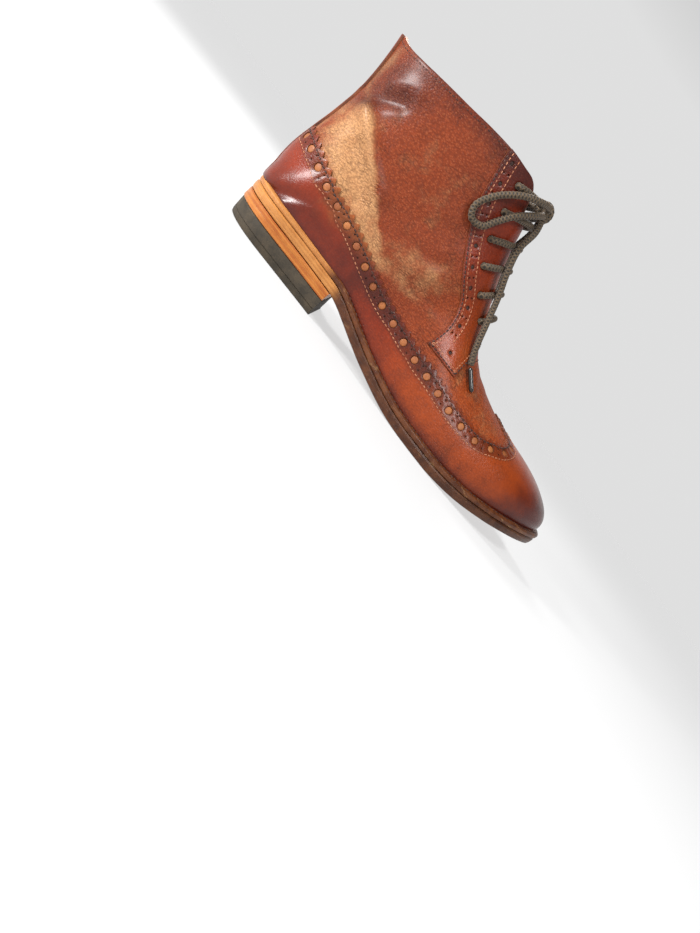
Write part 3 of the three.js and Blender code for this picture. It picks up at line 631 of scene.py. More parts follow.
def calf(name, fresh, worn_and_lit, burnished_and_shaded, gloss, coat):
    """Waxed grain leather: pebble and fine wrinkles, patina and burnish from the panel's own masks, with
    painted shade and highlight.
    """
    f = Finish(name)
    pebble, patina_and_highlight, burnish_and_shade = f.attribute("pebble"), f.attribute("patina_and_highlight"), f.attribute("burnish_and_shade")
    edge, band, warm = f.attribute("edge"), f.attribute("band"), f.attribute("warm")
    wide = f.noise(26, 4, 0.6, warp=0.6)
    cloudy = f.noise(85, 5, 0.62, warp=0.3)
    grain = f.cells(900, f.stretched((0.72, 1, 1.15)), "SMOOTH_F1", soft=0.35)
    pores = f.noise(2600, 3, 0.6)
    lines = f.cells(330, f.stretched((0.55, 0.8, 1.5)), "DISTANCE_TO_EDGE")
    fine_lines = f.cells(640, f.stretched((0.5, 0.8, 1.35)), "DISTANCE_TO_EDGE")
    wrinkle = (1 - lines.over(0.0, 0.16)) * cloudy.over(0.38, 0.66)
    hair = 1 - fine_lines.over(0.0, 0.2)
    # The pale worn colour also paints highlight where the patina mask carries it
    pale_and_lit_mix = (patina_and_highlight + (cloudy - 0.5) * 1.3 + (wide - 0.5) * 0.7).over(0.1, 1.0)
    # Burnish, with the painted shade above the welt, darkens towards the burnished colour
    dark_mix = (burnish_and_shade + (wide - 0.5) * 0.8 + (cloudy - 0.5) * 0.6).over(0.1, 1.0)
    colour = f.mix((warm * 0.75 + (wide - 0.5) * 0.3).clipped(), tint(fresh), tint("9e4416"))
    colour = f.mix(pale_and_lit_mix, colour, tint(worn_and_lit))
    colour = f.mix(dark_mix, colour, tint(burnished_and_shaded))
    colour = f.mix(band * 0.5, colour, tint("3a1408"))
    # Grain hollows darker and grain tops paler, partly the waxed leather's pull-up and partly painted shade
    # and highlight; wrinkle lines get painted shade
    colour = f.mix(pebble * grain.over(0.25, 0.75) * 0.34, colour, tint("2f0f06"))
    colour = f.mix(pebble * (1 - grain.over(0.05, 0.35)) * 0.2, colour, tint(worn_and_lit))
    colour = f.mix(wrinkle * pebble * 0.35, colour, tint("33110a"))
    colour = f.mix(edge * 0.75, colour, tint("2a120a"))
    height = pebble * (0.75 - grain) * 0.55 - pebble * wrinkle * 0.5 - pebble * hair * 0.28 + pores * 0.16
    rough = gloss + pebble * 0.1 + (cloudy - 0.5) * 0.22 + edge * 0.2 - burnish_and_shade * 0.06
    return f.set(
        Base_Color=colour, Roughness=rough, Normal=f.bump(height, 0.0004, 0.9),
        Coat_Weight=(coat + burnish_and_shade * 0.1).clipped(), Coat_Roughness=0.24, Specular_IOR_Level=0.2,
    )


def plain_hide(name, first, second, scale, gloss, height=0.0002):
    """Undyed or lining leather, cut edges and discs."""
    f = Finish(name)
    cloudy, fine = f.noise(scale * 0.25, 4, 0.6), f.noise(scale * 6, 3, 0.6)
    colour = f.mix((cloudy + (fine - 0.5) * 0.6).over(0.25, 0.8), tint(first), tint(second))
    rough = gloss + (fine - 0.5) * 0.2
    return f.set(Base_Color=colour, Roughness=rough, Normal=f.bump(fine + cloudy, height, 0.6))


def thread(name, first, second):
    f = Finish(name)
    twist = f.cells(2200, f.stretched((1, 1, 1), (0.6, 0.4, 0.8)))
    colour = f.mix(f.noise(160, 3).over(0.3, 0.7), tint(first), tint(second))
    return f.set(Base_Color=colour, Roughness=0.62, Normal=f.bump(twist, 0.0002, 0.6))


def waxed_lace(name):
    """Braided cotton: the braid follows the cord's own run."""
    f = Finish(name)
    length, round_, _ = f.parts(f.add("ShaderNodeUVMap", {"uv_map": "run"}, {}))
    full_turn = 2 * math.pi * BRAID_STRANDS
    left = (length * BRAID_TURN + round_ * full_turn).sine()
    strand = left.largest((length * BRAID_TURN - round_ * full_turn).sine())
    fibres = f.noise(2800, 3, 0.7)
    dirt = f.noise(120, 4, 0.6)
    # Painted highlight on the braid's crests and painted shade in its grooves, with the fibres' own tone
    lit = (strand * 0.5 + (fibres - 0.5) * 0.9 + 0.3).over(0.1, 0.95)
    colour = f.mix(lit, tint("1a1209"), tint("5c4930"))
    colour = f.mix(dirt.over(0.45, 0.75) * 0.4, colour, tint("352c20"))
    bump = f.bump(strand * 0.5 + fibres * 0.6, 0.00025, 0.7)
    return f.set(Base_Color=colour, Roughness=0.62, Normal=bump, Sheen_Weight=0.15)


def stacked(name, tan, deep, layers, shade_from):
    """Sole leather seen on its edge: layer lines, and dark stain forward of a place along the boot."""
    f = Finish(name)
    x, _, z = f.parts(f.place)
    streak = f.noise(60, 5, 0.65, f.stretched((0.35, 0.35, 14)))
    cloudy = f.noise(140, 4, 0.6)
    stained = x.over((shade_from - 4 + SHIFT[0]) / 1000, (shade_from + 6 + SHIFT[0]) / 1000)
    colour = f.mix((streak + (cloudy - 0.5) * 0.5).over(0.3, 0.72), tint(tan[0]), tint(tan[1]))
    rubbed = (f.noise(95, 5, 0.65, f.stretched((1, 1, 2.5))) + (streak - 0.5) * 0.4).over(0.55, 0.74)
    dark = f.mix(rubbed * 0.75, f.mix(cloudy.over(0.3, 0.7), tint(deep[0]), tint(deep[1])), tint(deep[2]))
    line = (z * (2 * math.pi * 1000 / layers)).sine().over(0.9, 1.0)
    colour = f.mix(line * 0.28, colour, tint("7a4a22"))
    height = streak * 0.8 + cloudy * 0.3 - line * 0.5
    return f.set(
        Base_Color=f.mix(stained, colour, dark), Roughness=0.42 + (cloudy - 0.5) * 0.3,
        Normal=f.bump(height, 0.00025, 0.7), Coat_Weight=0.06, Coat_Roughness=0.3, Specular_IOR_Level=0.3,
    )


def rubber(name):
    f = Finish(name)
    cloudy, fine = f.noise(90, 5, 0.65), f.noise(1500, 3, 0.6)
    colour = f.mix((cloudy + (fine - 0.5) * 0.5).over(0.3, 0.75), tint("2a2317"), tint("453a2a"))
    colour = f.mix(f.noise(330, 4, 0.7).over(0.6, 0.75) * 0.3, colour, tint("5e4e38"))
    return f.set(Base_Color=colour, Roughness=0.75, Normal=f.bump(fine * 0.5 + cloudy * 0.5, 0.0002, 0.6))


upper_calf = calf("quarter_calf", "803414", "b9875a", "4f1a0a", 0.42, 0.06)
trim_calf = calf("trim_calf", "80290d", "b0632f", "4a140a", 0.33, 0.2)
lining = plain_hide("lining_hide", "6a3a1a", "a5622e", 240, 0.75)
cut_edge = plain_hide("cut_edge", "4a2312", "8a4b26", 400, 0.6)
collar_rim = plain_hide("collar_rim", "8f4c1d", "bf7838", 400, 0.6)
disc_hide = plain_hide("disc_hide", "7f401a", "ab6832", 500, 0.55, 0.00012)
pale_thread = thread("pale_thread", "8f4f30", "b87d5a")
# Dark thread for stitches, also used for the painted shade discs in small holes
dark_thread_and_hole_shade = thread("dark_thread_and_hole_shade", "2a120a", "4a2415")
lace_finish = waxed_lace("waxed_lace")
welt_finish = stacked("welt_edge", ("9f6230", "bd8247"), ("47210c", "67391b", "a47a50"), 2.1, 73)
outsole_finish = stacked("outsole_edge", ("a1652f", "bb7f43"), ("3a1c0c", "573018", "7d5838"), 2.1, 84)
lift_finish = stacked("lift_leather", ("984f1e", "b4702f"), ("3a2012", "523018", "8a6040"), 3.75, 200)
rubber_finish = rubber("heel_rubber")
tag_finish = Finish("lace_tag").set(Base_Color=tint("1c1814"), Roughness=0.32, Coat_Weight=0.4)


# Laces: their routes as row, angle and height over the last

LACE_SEAT = GAP + OVERLAY + GAP + LACE / 2
LACE_SHOWN = 4.2  # the braid puffs out over its solid
KNOT_ROW, KNOT_LIFT = 16.6, 8.8
LOOP = [
    (17, 8.5, 11), (17, 24, 11), (16.5, 39, 8.6), (15.5, 51, 5.6), (14.2, 56, 4), (13.2, 53, 3.6),
    (12.9, 46, 3.8), (13.6, 41.5, 5), (14.7, 35, 7.6), (15.5, 22, 9.4), (16, 9, 9.8),
]
END = [
    (15.45, 4, 9.2), (14.2, 10, 9.6), (12, 17, 8.8), (9.8, 20, 8.6), (8.2, 23, 8.4), (6.9, 30, 7),
    (6, 37, 4.6), (5.5, 41, 2.9),
]
TAG_ROUTE = [(5.46, 41.3, 2.7), (4.75, 46, 1.9)]


def on_last(row, angle, lift):
    """A point over the last."""
    out = normal(np.array([row]), np.array([angle]))[0]
    if abs(angle) < 1:
        out = out * (1, 0, 1)
        out /= np.linalg.norm(out)
    return place(np.array([row]), np.array([angle]))[0] + out * lift


LACE_SUNK, LACE_OVER, LACE_INWARD = 0.6, 0.9, 0.72


def lace_end(row, angle):
    """From inside a hole to the top of the facing beside it."""
    inside, mouth = on_last(row, angle, 0.1 - WALL), on_last(row, angle, LACE_SEAT - LACE_SUNK)
    return [inside, mouth, on_last(row, angle * LACE_INWARD, LACE_SEAT + LACE_OVER)]


def lace(name, parts, finish):
    """A piece of lace or its tag from swept parts."""
    points, faces, uv = joined(parts)
    piece = add_mesh(name, points, faces, [finish], uv=uv, crease=60)
    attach(piece, "root")
    return piece


BRAID_STEP, LACE_SIDES, WEAVE = 0.3, 18, 0.22


def braid(corners, ends=(0, 0)):
    """A swept braided lace through corners, and its path."""
    path = centripetal(corners, 40 * len(corners))
    run = run_length(path)
    at = np.linspace(0, run[-1], round(run[-1] / BRAID_STEP))
    path = np.stack([np.interp(at, run, c) for c in path.T], -1)
    return swept(path, LACE_SHOWN / 2 - 0.02, LACE_SIDES, WEAVE, ends), path


lace_pieces = {}
for side, side_name in ((-1, "outer"), (1, "inner")):
    tag_path = np.array([on_last(r, side * a, h) for r, a, h in TAG_ROUTE])
    tag_path = np.linspace(tag_path[0], tag_path[1], 14)
    tag = lace(f"tag_{side_name}", [swept(tag_path, TAG / 2, 16, 0, (1.2, 1.0))], tag_finish)
    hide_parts(f"lace_tag_{side_name}")
    for kind, table in (("loop", LOOP), ("end", END)):
        body, path = braid([on_last(r, side * a, h) for r, a, h in table], ends=(1.2, 1.2))
        piece = lace(f"{kind}_{side_name}", [body], lace_finish)
        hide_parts(f"lace_{kind}_{side_name}")
        lace_pieces[kind, side] = (piece, path, tag)

# The knot: both loops and ends crossing under one wrap
knot_at = on_last(KNOT_ROW, 0, KNOT_LIFT)
knot_out = knot_at - on_last(KNOT_ROW, 0, 0)
knot_out /= np.linalg.norm(knot_out)
knot_up = np.cross(knot_out, (0, 1.0, 0))
knot_up *= np.sign(knot_up[2])
WRAP_DEEP, WRAP_HIGH, WRAP_SLANT = 4.1, 5.0, 1.2
wrap = []
for t in np.linspace(0, 2 * math.pi, 50)[:-1]:
    over_knot = WRAP_DEEP * math.cos(t) * knot_out
    slant = np.array([0, WRAP_SLANT * math.sin(t), 0])
    wrap.append(knot_at + over_knot + WRAP_HIGH * math.sin(t) * knot_up + slant)
wrap.append(wrap[0] + np.array([0, 0.3, 0]))
strands = [swept(np.array(wrap), LACE_SHOWN / 2, LACE_SIDES, WEAVE)]
STRAND_RISE, STRAND_PAST = 0.6, 0.18
for side in (-1, 1):
    for row, angle, lift in (LOOP[0], LOOP[-1], END[0]):
        start = on_last(row, side * angle, lift)
        middle = knot_at + (start - knot_at) * 0.5 + knot_out * STRAND_RISE
        far = knot_at - (start - knot_at) * STRAND_PAST
        strands.append(braid([start, middle, far])[0])
knot = lace("knot", strands, lace_finish)
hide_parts("lace_knot")

for (kind, side), (piece, path, tag) in lace_pieces.items():
    "fitting" if kind == "end" else "knot"
    [tag] if kind == "end" else [knot] if side < 0 else []

# Lace across the throat
bars = []
for row, angle in LACE_ROWS[1:]:
    corners = [*lace_end(row, -angle), on_last(row, 0, LACE_RISE), *lace_end(row, angle)[::-1]]
    bars.append(braid(corners)[0])
for side in (-1, 1):
    row, angle = LACE_ROWS[0]
    under_knot = on_last(row - 0.25, side * angle * 0.34, LACE_RISE + LACE_OVER)
    bars.append(braid([*lace_end(row, side * angle), under_knot])[0])
lacing = lace("lacing", bars, lace_finish)
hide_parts(*[f"lace_bar_{i}" for i in range(1, 6)], "lace_top_outer", "lace_top_inner")


# Creases and colour, seen from the side: x, z

# Each crease: side (0 both), height in mm (below 0 a trough), width in mm, and its line
CREASES = [
    (0, 3.3, 5.0, [(9, 106), (16, 100), (30, 91.5), (43, 84), (56, 76.5), (72, 64)]),
    (0, -2.2, 6.0, [(6, 101), (14, 108), (24, 116), (34, 122)]),
    (0, -1.8, 8.0, [(22, 86), (36, 78), (48, 70), (58, 62)]),
    (0, 0.8, 5.0, [(10, 117), (22, 124), (36, 130)]),
    (-1, -0.6, 3.0, [(46, 118), (58, 108), (72, 100), (88, 95)]),
    (-1, -0.5, 3.0, [(50, 104), (64, 94), (80, 88), (97, 84)]),
    (0, -0.6, 3.5, [(78, 74), (92, 76), (108, 80), (120, 86)]),
    (0, 0.7, 4.5, [(72, 60), (88, 64), (106, 69), (126, 76)]),
    (0, -0.6, 4.0, [(84, 54), (102, 58), (122, 62), (140, 66)]),
    (0, -0.35, 2.6, [(172, 64), (177, 57), (182, 50), (186, 44)]),
    (0, 0.3, 3.0, [(177, 65), (182, 58), (188, 50), (192, 45)]),
    (0, -0.35, 2.6, [(184, 62), (189, 56), (195, 49), (200, 43)]),
    (0, -0.25, 2.4, [(196, 58), (202, 52), (208, 46)]),
    (1, -0.4, 3.0, [(40, 112), (56, 104), (74, 99), (92, 97)]),
    (1, -0.35, 3.5, [(30, 76), (48, 70), (66, 66)]),
]
WAVES = np.random.default_rng(7).normal(size=(14, 4))
WAVE_LENGTH, SLACK, CREASE_ENDS = 26, 1.1, 0.12
# The diagonal fold over the heel: a place on it, the way across it, and that way's length
FOLD_X, FOLD_Z, FOLD_FORWARD, FOLD_UP, FOLD_SCALE = 9, 106, 42, 63, 75.7


def from_line(points, line):
    """How far side-view points are from a smooth side-view line, and the share of its run beside them."""
    at = np.linspace(0, len(line) - 1, 40)
    path = np.stack([smooth_at(c, at) for c in np.asarray(line, float).T], -1)
    best, share = np.full(len(points), 1e9), np.zeros(len(points))
    for i in range(len(path) - 1):
        a, d = path[i], path[i + 1] - path[i]
        t = np.clip(((points - a) @ d) / (d @ d), 0, 1)
        far = np.linalg.norm(points - a - t[:, None] * d, axis=1)
        near = far < best
        best, share = np.where(near, far, best), np.where(near, (i + t) / (len(path) - 1), share)
    return best, share


def relief(points):
    """Height of creases and of the leather's slack over the last."""
    side_view, side = points[:, [0, 2]], np.sign(points[:, 1] - 0.5)
    rise = np.zeros(len(points))
    for which, height, width, line in CREASES:
        far, share = from_line(side_view, line)
        ends = smoothstep(share, 0, 0.2) * (1 - smoothstep(share, 0.75, 1)) + CREASE_ENDS
        hit = height * np.exp(-(far / width) ** 2) * ends * (far < 3 * width)
        rise += np.where((which == 0) | (side == which), hit, 0)
    waves = (math.cos(w[3]) * np.sin(points @ w[:3] / WAVE_LENGTH + 3 * w[3]) for w in WAVES)
    slack = sum(waves) / len(WAVES)
    shaft = smoothstep(points[:, 2], 35, 70) * (1 - 0.7 * smoothstep(points[:, 2], 135, 150))
    return rise + SLACK * slack * (0.1 + shaft)


# Worn, paler places, partly painted highlight, and burnished, darker ones: x, z, reach along and up, lean in
# degrees, strength
WORN_AND_HIGHLIT = [
    (35, 72, 30, 17, -38, 1.0), (22, 92, 12, 18, 0, 0.6), (62, 62, 26, 9, -30, 0.45),
    (108, 72, 26, 10, 12, 0.5), (95, 55, 40, 7, 4, 0.35), (66, 108, 26, 12, -20, 0.22),
    (160, 60, 14, 9, -50, 0.3), (196, 47, 26, 7, -12, 0.35), (3, 128, 5, 14, 0, 0.6), (0, 80, 4, 30, 0, 0.4),
]
BURNISHED = [
    (20, 122, 24, 18, 0, 0.75), (60, 148, 60, 12, 8, 0.75), (12, 103, 12, 7, 35, 0.55),
    (20, 38, 34, 12, 0, 0.2), (80, 40, 60, 9, 0, 0.35), (286, 34, 30, 24, 0, 0.65),
    (100, 120, 16, 30, 0, 0.3), (150, 40, 60, 8, 0, 0.35),
]


def masks(points, pebble, burnish_and_shade):
    """What the calf finishes read: how pebbly each point is, how worn with painted highlight, and how
    burnished with painted shade.
    """
    x, z = points[:, 0], points[:, 2]
    made = {"patina_and_highlight": np.zeros(len(points)), "burnish_and_shade": np.full(len(points), float(burnish_and_shade))}
    for key, places in (("patina_and_highlight", WORN_AND_HIGHLIT), ("burnish_and_shade", BURNISHED)):
        for px, pz, reach, height, lean, strength in places:
            c, s = math.cos(math.radians(lean)), math.sin(math.radians(lean))
            u, v = ((x - px) * c + (z - pz) * s) / reach, (-(x - px) * s + (z - pz) * c) / height
            made[key] += strength * np.exp(-(u * u + v * v))
    # Painted shade in a band just above the join with the welt
    made["burnish_and_shade"] += 0.5 * np.exp(-np.abs(z - feather(x)) / 4)
    # Painted shade beyond the diagonal fold over the heel, and a painted highlight along its ridge
    past_fold = ((x - FOLD_X) * FOLD_FORWARD + (z - FOLD_Z) * FOLD_UP) / FOLD_SCALE
    by_fold = (1 - smoothstep(x, 66, 92)) * (1 - smoothstep(z, 100, 118))
    made["patina_and_highlight"] *= 1 - 0.75 * smoothstep(past_fold, -1, 7) * by_fold
    made["patina_and_highlight"] += 0.4 * np.exp(-(past_fold / 2.2) ** 2) * by_fold
    made["patina_and_highlight"] = np.clip(made["patina_and_highlight"], 0, 1)
    over_foot = smoothstep(x, 105, 175) * (1 - 0.5 * smoothstep(x, 240, 280))
    made["warm"] = over_foot * (1 - smoothstep(z, 85, 125))
    made["burnish_and_shade"] = np.clip(made["burnish_and_shade"], 0, 1)
    smooth_toe = 1 - 0.75 * smoothstep(x, 215, 262)
    smooth_counter = 1 - 0.5 * smoothstep(40 - (z - feather(x)), 10, 30) * (x < 90)
    made["pebble"] = pebble * smooth_toe * smooth_counter
    return made


# Leather panels

ROW_SCALE = 15.0  # one row of the last beside one degree, in the flat pattern
SEAT_STEP, COLLAR_STEP, WING_STEP, FACING_STEP = 1.2, 0.9, 1.1, 0.8  # mm between an edge's spots
SPOTS_APART = 0.12  # mm between a loop's spots, at least
SEAM_REACH = 1e-5  # metres within which a seam's points merge


def covered(row, angle, lift):
    """Points over the last with its creases, lifted off it."""
    base = place(row, angle)
    return base + normal(row, angle) * (lift + relief(base))[:, None]


def grid_spots(low, high, rows, degrees):
    """Spots spread over a range of rows and angles, closer together at the toe."""
    near_toe = np.linspace(0, 1, 22)[1:] ** 2
    r = np.concatenate([near_toe, np.arange(1 + rows, TOP_ROW, rows)])
    r = r[(r > low[0]) & (r < high[0])]
    a = np.arange(low[1], high[1], degrees)
    spots = np.stack(np.meshgrid(r, a, indexing="ij"), -1)
    spots[1::2, :, 1] += degrees / 2
    return spots.reshape(-1, 2)


def filled(loops, grid, clear):
    """Triangles inside the first loop and outside the others. The loops' spots come first."""
    edge = np.concatenate(loops)
    tree = KDTree(len(edge))
    for i, (r, a) in enumerate(edge):
        tree.insert((a, r * ROW_SCALE, 0), i)
    tree.balance()
    inner = [s for s in grid if tree.find((s[1], s[0] * ROW_SCALE, 0))[2] > clear]
    spots = np.concatenate([edge, np.array(inner).reshape(-1, 2)])
    flat = [Vector((a, r * ROW_SCALE)) for r, a in spots]
    rings, start = [], 0
    for loop in loops:
        ids = list(range(start, start + len(loop)))
        rings.append(ids if area_of(loop) > 0 else ids[::-1])
        start += len(loop)
    verts, _, faces, origin, _, inside = delaunay_2d_cdt(flat, [], rings, 0, 1e-7, True)
    # A spot that the filling adds, where lines meet, comes after the given ones
    at = np.array([o[0] if o else -1 for o in origin])
    extra = [(v.y / ROW_SCALE, v.x) for v, o in zip(verts, origin) if not o]
    at[at < 0] = len(spots) + np.arange((at < 0).sum())
    spots = np.concatenate([spots, np.array(extra).reshape(-1, 2)])
    keep = [[at[i] for i in face] for face, within in zip(faces, inside) if within and max(within) == 0]
    return spots, np.array(keep)


ON_LINE = 1e-6  # a row or an angle this near counts as on the toe's end or the back seam
RIM_DARK, WALL_DARK = 0.4, 1.0  # how dark a cut edge is, at its rim and on its wall


def panel(name, loops, lift, thick, finishes, rows, degrees, pebble=1.0, burnish_and_shade=0.0, drop=0.25, clear=0.9,
          band=None, toe_cap=False, seam=False):
    """A leather piece cut to a pattern of spots, shaped over the last, closed all round."""
    low, high = loops[0].min(0), loops[0].max(0)
    top_spots, top_faces = filled(loops, grid_spots(low, high, rows, degrees), clear)
    under_spots, under_faces = filled(loops, grid_spots(low, high, rows * 2, degrees * 2), clear * 2)
    rim = sum(len(loop) for loop in loops)
    top_lift = np.full(len(top_spots), float(lift))
    top_lift[:rim] -= drop
    top = covered(*top_spots.T, top_lift)
    under = covered(*under_spots.T, np.full(len(under_spots), lift - thick))
    n = len(top)
    faces = [tuple(f) for f in top_faces]
    slots = [0] * len(faces)
    faces += [tuple(n + f[::-1]) for f in under_faces]
    slots += [1] * len(under_faces)
    wall = covered(*top_spots[:rim].T, np.full(rim, lift - thick * 0.55 - drop * 0.5))
    first = n + len(under)
    start = 0
    for k, loop in enumerate(loops):
        m = len(loop)
        turn = 1 if (area_of(loop) > 0) == (k == 0) else -1
        for i in range(m):
            a, b = (start + i, start + (i + 1) % m)[::turn]
            both = top_spots[[a, b]]
            at_toe = toe_cap and (both[:, 0] < ON_LINE).all()
            at_seam = seam and (np.abs(np.abs(both[:, 1]) - 180) < ON_LINE).all()
            if at_toe or at_seam:
                continue
            faces += [(a, first + a, first + b, b), (first + a, n + a, n + b, first + b)]
            slots += [2, 2]
        start += m
    points = np.concatenate([top, under, wall])
    edge = np.zeros(len(points))
    edge[:rim] = RIM_DARK
    edge[first:] = WALL_DARK
    if toe_cap:
        for shift, sign in ((0, 1), (n, -1)):
            ends = [i for i in range(rim) if top_spots[i][0] < ON_LINE]
            ends.sort(key=lambda i: top_spots[i][1])
            middle = points[[shift + i for i in ends]].mean(0)
            centre = len(points)
            points = np.vstack([points, middle])
            edge = np.append(edge, 0)
            for a, b in zip(ends, ends[1:]):
                faces.append((centre, shift + b, shift + a)[::sign])
                slots.append(0 if shift == 0 else 1)
    base = np.concatenate([place(*top_spots.T), place(*under_spots.T), place(*top_spots[:rim].T)])
    base = np.vstack([base, points[len(base):]])
    values = masks(base, pebble, burnish_and_shade)
    values["edge"] = edge
    values["band"] = np.zeros(len(points)) if band is None else band(base)
    piece = add_mesh(name, points, faces, finishes, slots, values)
    if seam:
        weld(piece)
    return piece


def area_of(loop):
    """Signed area of a loop of spots, above 0 where its inside is on the left seen from outside."""
    a, r = loop[:, 1], loop[:, 0] * ROW_SCALE
    return 0.5 * float((a * np.roll(r, -1) - np.roll(a, -1) * r).sum())


def weld(piece):
    """Merges doubled points along a piece's closed seam."""
    work = bmesh.new()
    work.from_mesh(piece.data)
    bmesh.ops.remove_doubles(work, verts=work.verts, dist=SEAM_REACH)
    work.to_mesh(piece.data)
    work.free()


def closed_loop(*lines):
    """Lines end to end as one loop, without doubled spots."""
    spots = np.concatenate(lines)
    points = place(*spots.T)
    keep = [0]
    for i in range(1, len(spots)):
        if np.linalg.norm(points[i] - points[keep[-1]]) > SPOTS_APART:
            keep.append(i)
    while np.linalg.norm(points[keep[-1]] - points[keep[0]]) < SPOTS_APART and len(keep) > 3:
        keep.pop()
    return spots[keep]


# Edges of the upper's pieces, as lines of spots on the inner side

THROAT_CORNER = 3.0
throat_x = SOLE_LENGTH * THROAT_AT
throat_z = float(feather(throat_x)) + UPPER_RISE * THROAT_RISE
slot_top = float(feather(0)) + UPPER_RISE * 1.2
throat_ridge = BALL_WIDTH * 0.02
collar_x, collar_z = side_line(COLLAR_LINE, 900)


def below_collar(spots, margin=0.0):
    p = place(*spots.T)
    return spots[p[:, 2] < np.interp(p[:, 0], collar_x, collar_z) - margin]


def throat_edge(side):
    """Edge of the slot between the facings, from the round of its base up to the collar."""
    turn = np.linspace(math.pi / 2, 0, 8)
    low = THROAT_BASE / 2
    y = low - THROAT_CORNER + THROAT_CORNER * np.cos(turn)
    z = throat_z + THROAT_CORNER - THROAT_CORNER * np.sin(turn)
    share = np.linspace(0, 1, 160)[1:]
    y = np.append(y, low + (THROAT_TOP / 2 - low) * share)
    z = np.append(z, z[-1] + (slot_top - z[-1]) * share)
    middle = throat_ridge * (1 - np.append(np.zeros(8), share))
    return below_collar(from_front(middle + side * y, z))


def collar_edge(side):
    """Top edge, from the back seam to the throat."""
    spots, height = from_side(collar_x, collar_z, side)
    p = place(*spots.T)
    share = (p[:, 2] - throat_z - THROAT_CORNER) / (slot_top - throat_z - THROAT_CORNER)
    share = np.clip(share, 0, 1)
    edge = throat_ridge * (1 - share) * side + THROAT_BASE / 2 + (THROAT_TOP - THROAT_BASE) / 2 * share
    first = int((height > 0).argmax())
    t = -height[first - 1] / (height[first] - height[first - 1])
    row = spots[first - 1, 0] + t * (spots[first, 0] - spots[first - 1, 0])
    keep = (height > 0) & (side * p[:, 1] > edge)
    return np.vstack([[row, side * 180.0], spots[keep]])


def across_front(line):
    """Half of a loop's front edge, from the ridge to the start of a line."""
    angle = np.linspace(0, line[0][1], 30)[:-1]
    return np.stack([np.zeros(len(angle)), angle], -1)


seat = feather_line(HEEL_ROW)
collar_inner, collar_outer = collar_edge(1), collar_edge(-1)
throat_inner, throat_outer = throat_edge(1), throat_edge(-1)


def stay_side(y):
    """The stay's edge from the seat to the collar."""
    rows = np.linspace(12.0, 19.9, 400)
    spots = np.stack([rows, at_stay(rows, y)], -1)
    return below_collar(spots[seat_height(*spots.T) > 0])


def cut_at_stay(line, y):
    """The part of an inner line forward of the stay's edge."""
    p = place(*line.T)
    return line[(p[:, 1] > y) | (p[:, 0] > 60)]


# The wing's top edge, from the peak on the ridge back to the stay
side_x, side_z = side_line(WING_SIDE, 300)
side_spots, side_share = from_side(side_x, side_z, 1)
side_spots = side_spots[(side_share > 0) & (side_x < 219.5)]
peak_spots = from_above(WING_PEAK[:, 0], BALL_WIDTH * 0.03 + WING_PEAK[:, 1])
peak_spots[-1, 1] = 0
wing_top = np.concatenate([even(side_spots, 8.0), peak_spots])[::-1]
UNDER_STAY = STAY_WIDTH / 2 - 0.6  # where the wing ends, just under the stay's edge
wing_top = cut_at_stay(smooth_line(wing_top, 0.25), UNDER_STAY)


def lowered(line, distance):
    """A line below the wing's top edge, still on the inner side."""
    spots = beside(line, -distance)
    return spots[spots[:, 1] > 0.2]


# The wing
TOOTH_PITCH, TOOTH = 5.86, 2.3
TOOTH_PEAK, TOOTH_HALF, TOOTH_POWER, TOOTH_SUNK = 1.16, 0.36, 0.9, 0.45
HOLE_PITCH, FIRST_HOLE, HOLE_INSET, HOLE = 12.9, 11.0, 5.7, 2.7
PIN_OFFSET, PINHOLE, PIN_CORNERS = 1.9, 0.55, 7
BAND_EDGE = (4.3, 6.2)  # distances from the holes' line over which the dark band ends


def pinked(line):
    """A line cut into teeth."""
    run = run_length(place(*line.T))
    phase = (run / TOOTH_PITCH + 0.5) % 1
    tooth = np.clip(TOOTH_PEAK - np.abs(phase - 0.5) / TOOTH_HALF, 0, 1)
    return beside(line, TOOTH * (tooth ** TOOTH_POWER - TOOTH_SUNK))


def both_sides(half):
    """A loop from its inner half, which starts and ends on the ridge."""
    return closed_loop(half, mirrored(half[::-1]))


hole_line = lowered(wing_top, HOLE_INSET)
holes_inner = every(hole_line, HOLE_PITCH, FIRST_HOLE)
peak_hole = np.array([hole_line[0][0], 0.0])
wing_holes = [peak_hole, *holes_inner, *mirrored(holes_inner)]
gaps_inner = every(hole_line, HOLE_PITCH, FIRST_HOLE + HOLE_PITCH / 2)
pin_inner = np.concatenate([beside(gaps_inner, PIN_OFFSET), beside(gaps_inner, -PIN_OFFSET)])
pin_spots = [*pin_inner, *mirrored(pin_inner)]

edge_of_wing = pinked(wing_top)
edge_of_wing[0, 1] = 0
seat_wing = cut_at_stay(seat, UNDER_STAY)
stay_in = stay_side(UNDER_STAY)
stay_in = stay_in[stay_in[:, 0] < edge_of_wing[-1, 0] - 0.03]
stay_in = stay_in[stay_in[:, 0] > seat_wing[-1, 0] + 0.01]
wing_loop = both_sides(np.concatenate([
    across_front(seat), even(seat_wing, WING_STEP), even(stay_in, WING_STEP), edge_of_wing[::-1],
]))


def in_band(base):
    """1 between the wing's stitched rows."""
    tree = KDTree(len(band_path))
    for i, p in enumerate(band_path):
        tree.insert(p, i)
    tree.balance()
    far = np.array([tree.find(p)[2] for p in base])
    return 1 - smoothstep(far, *BAND_EDGE)


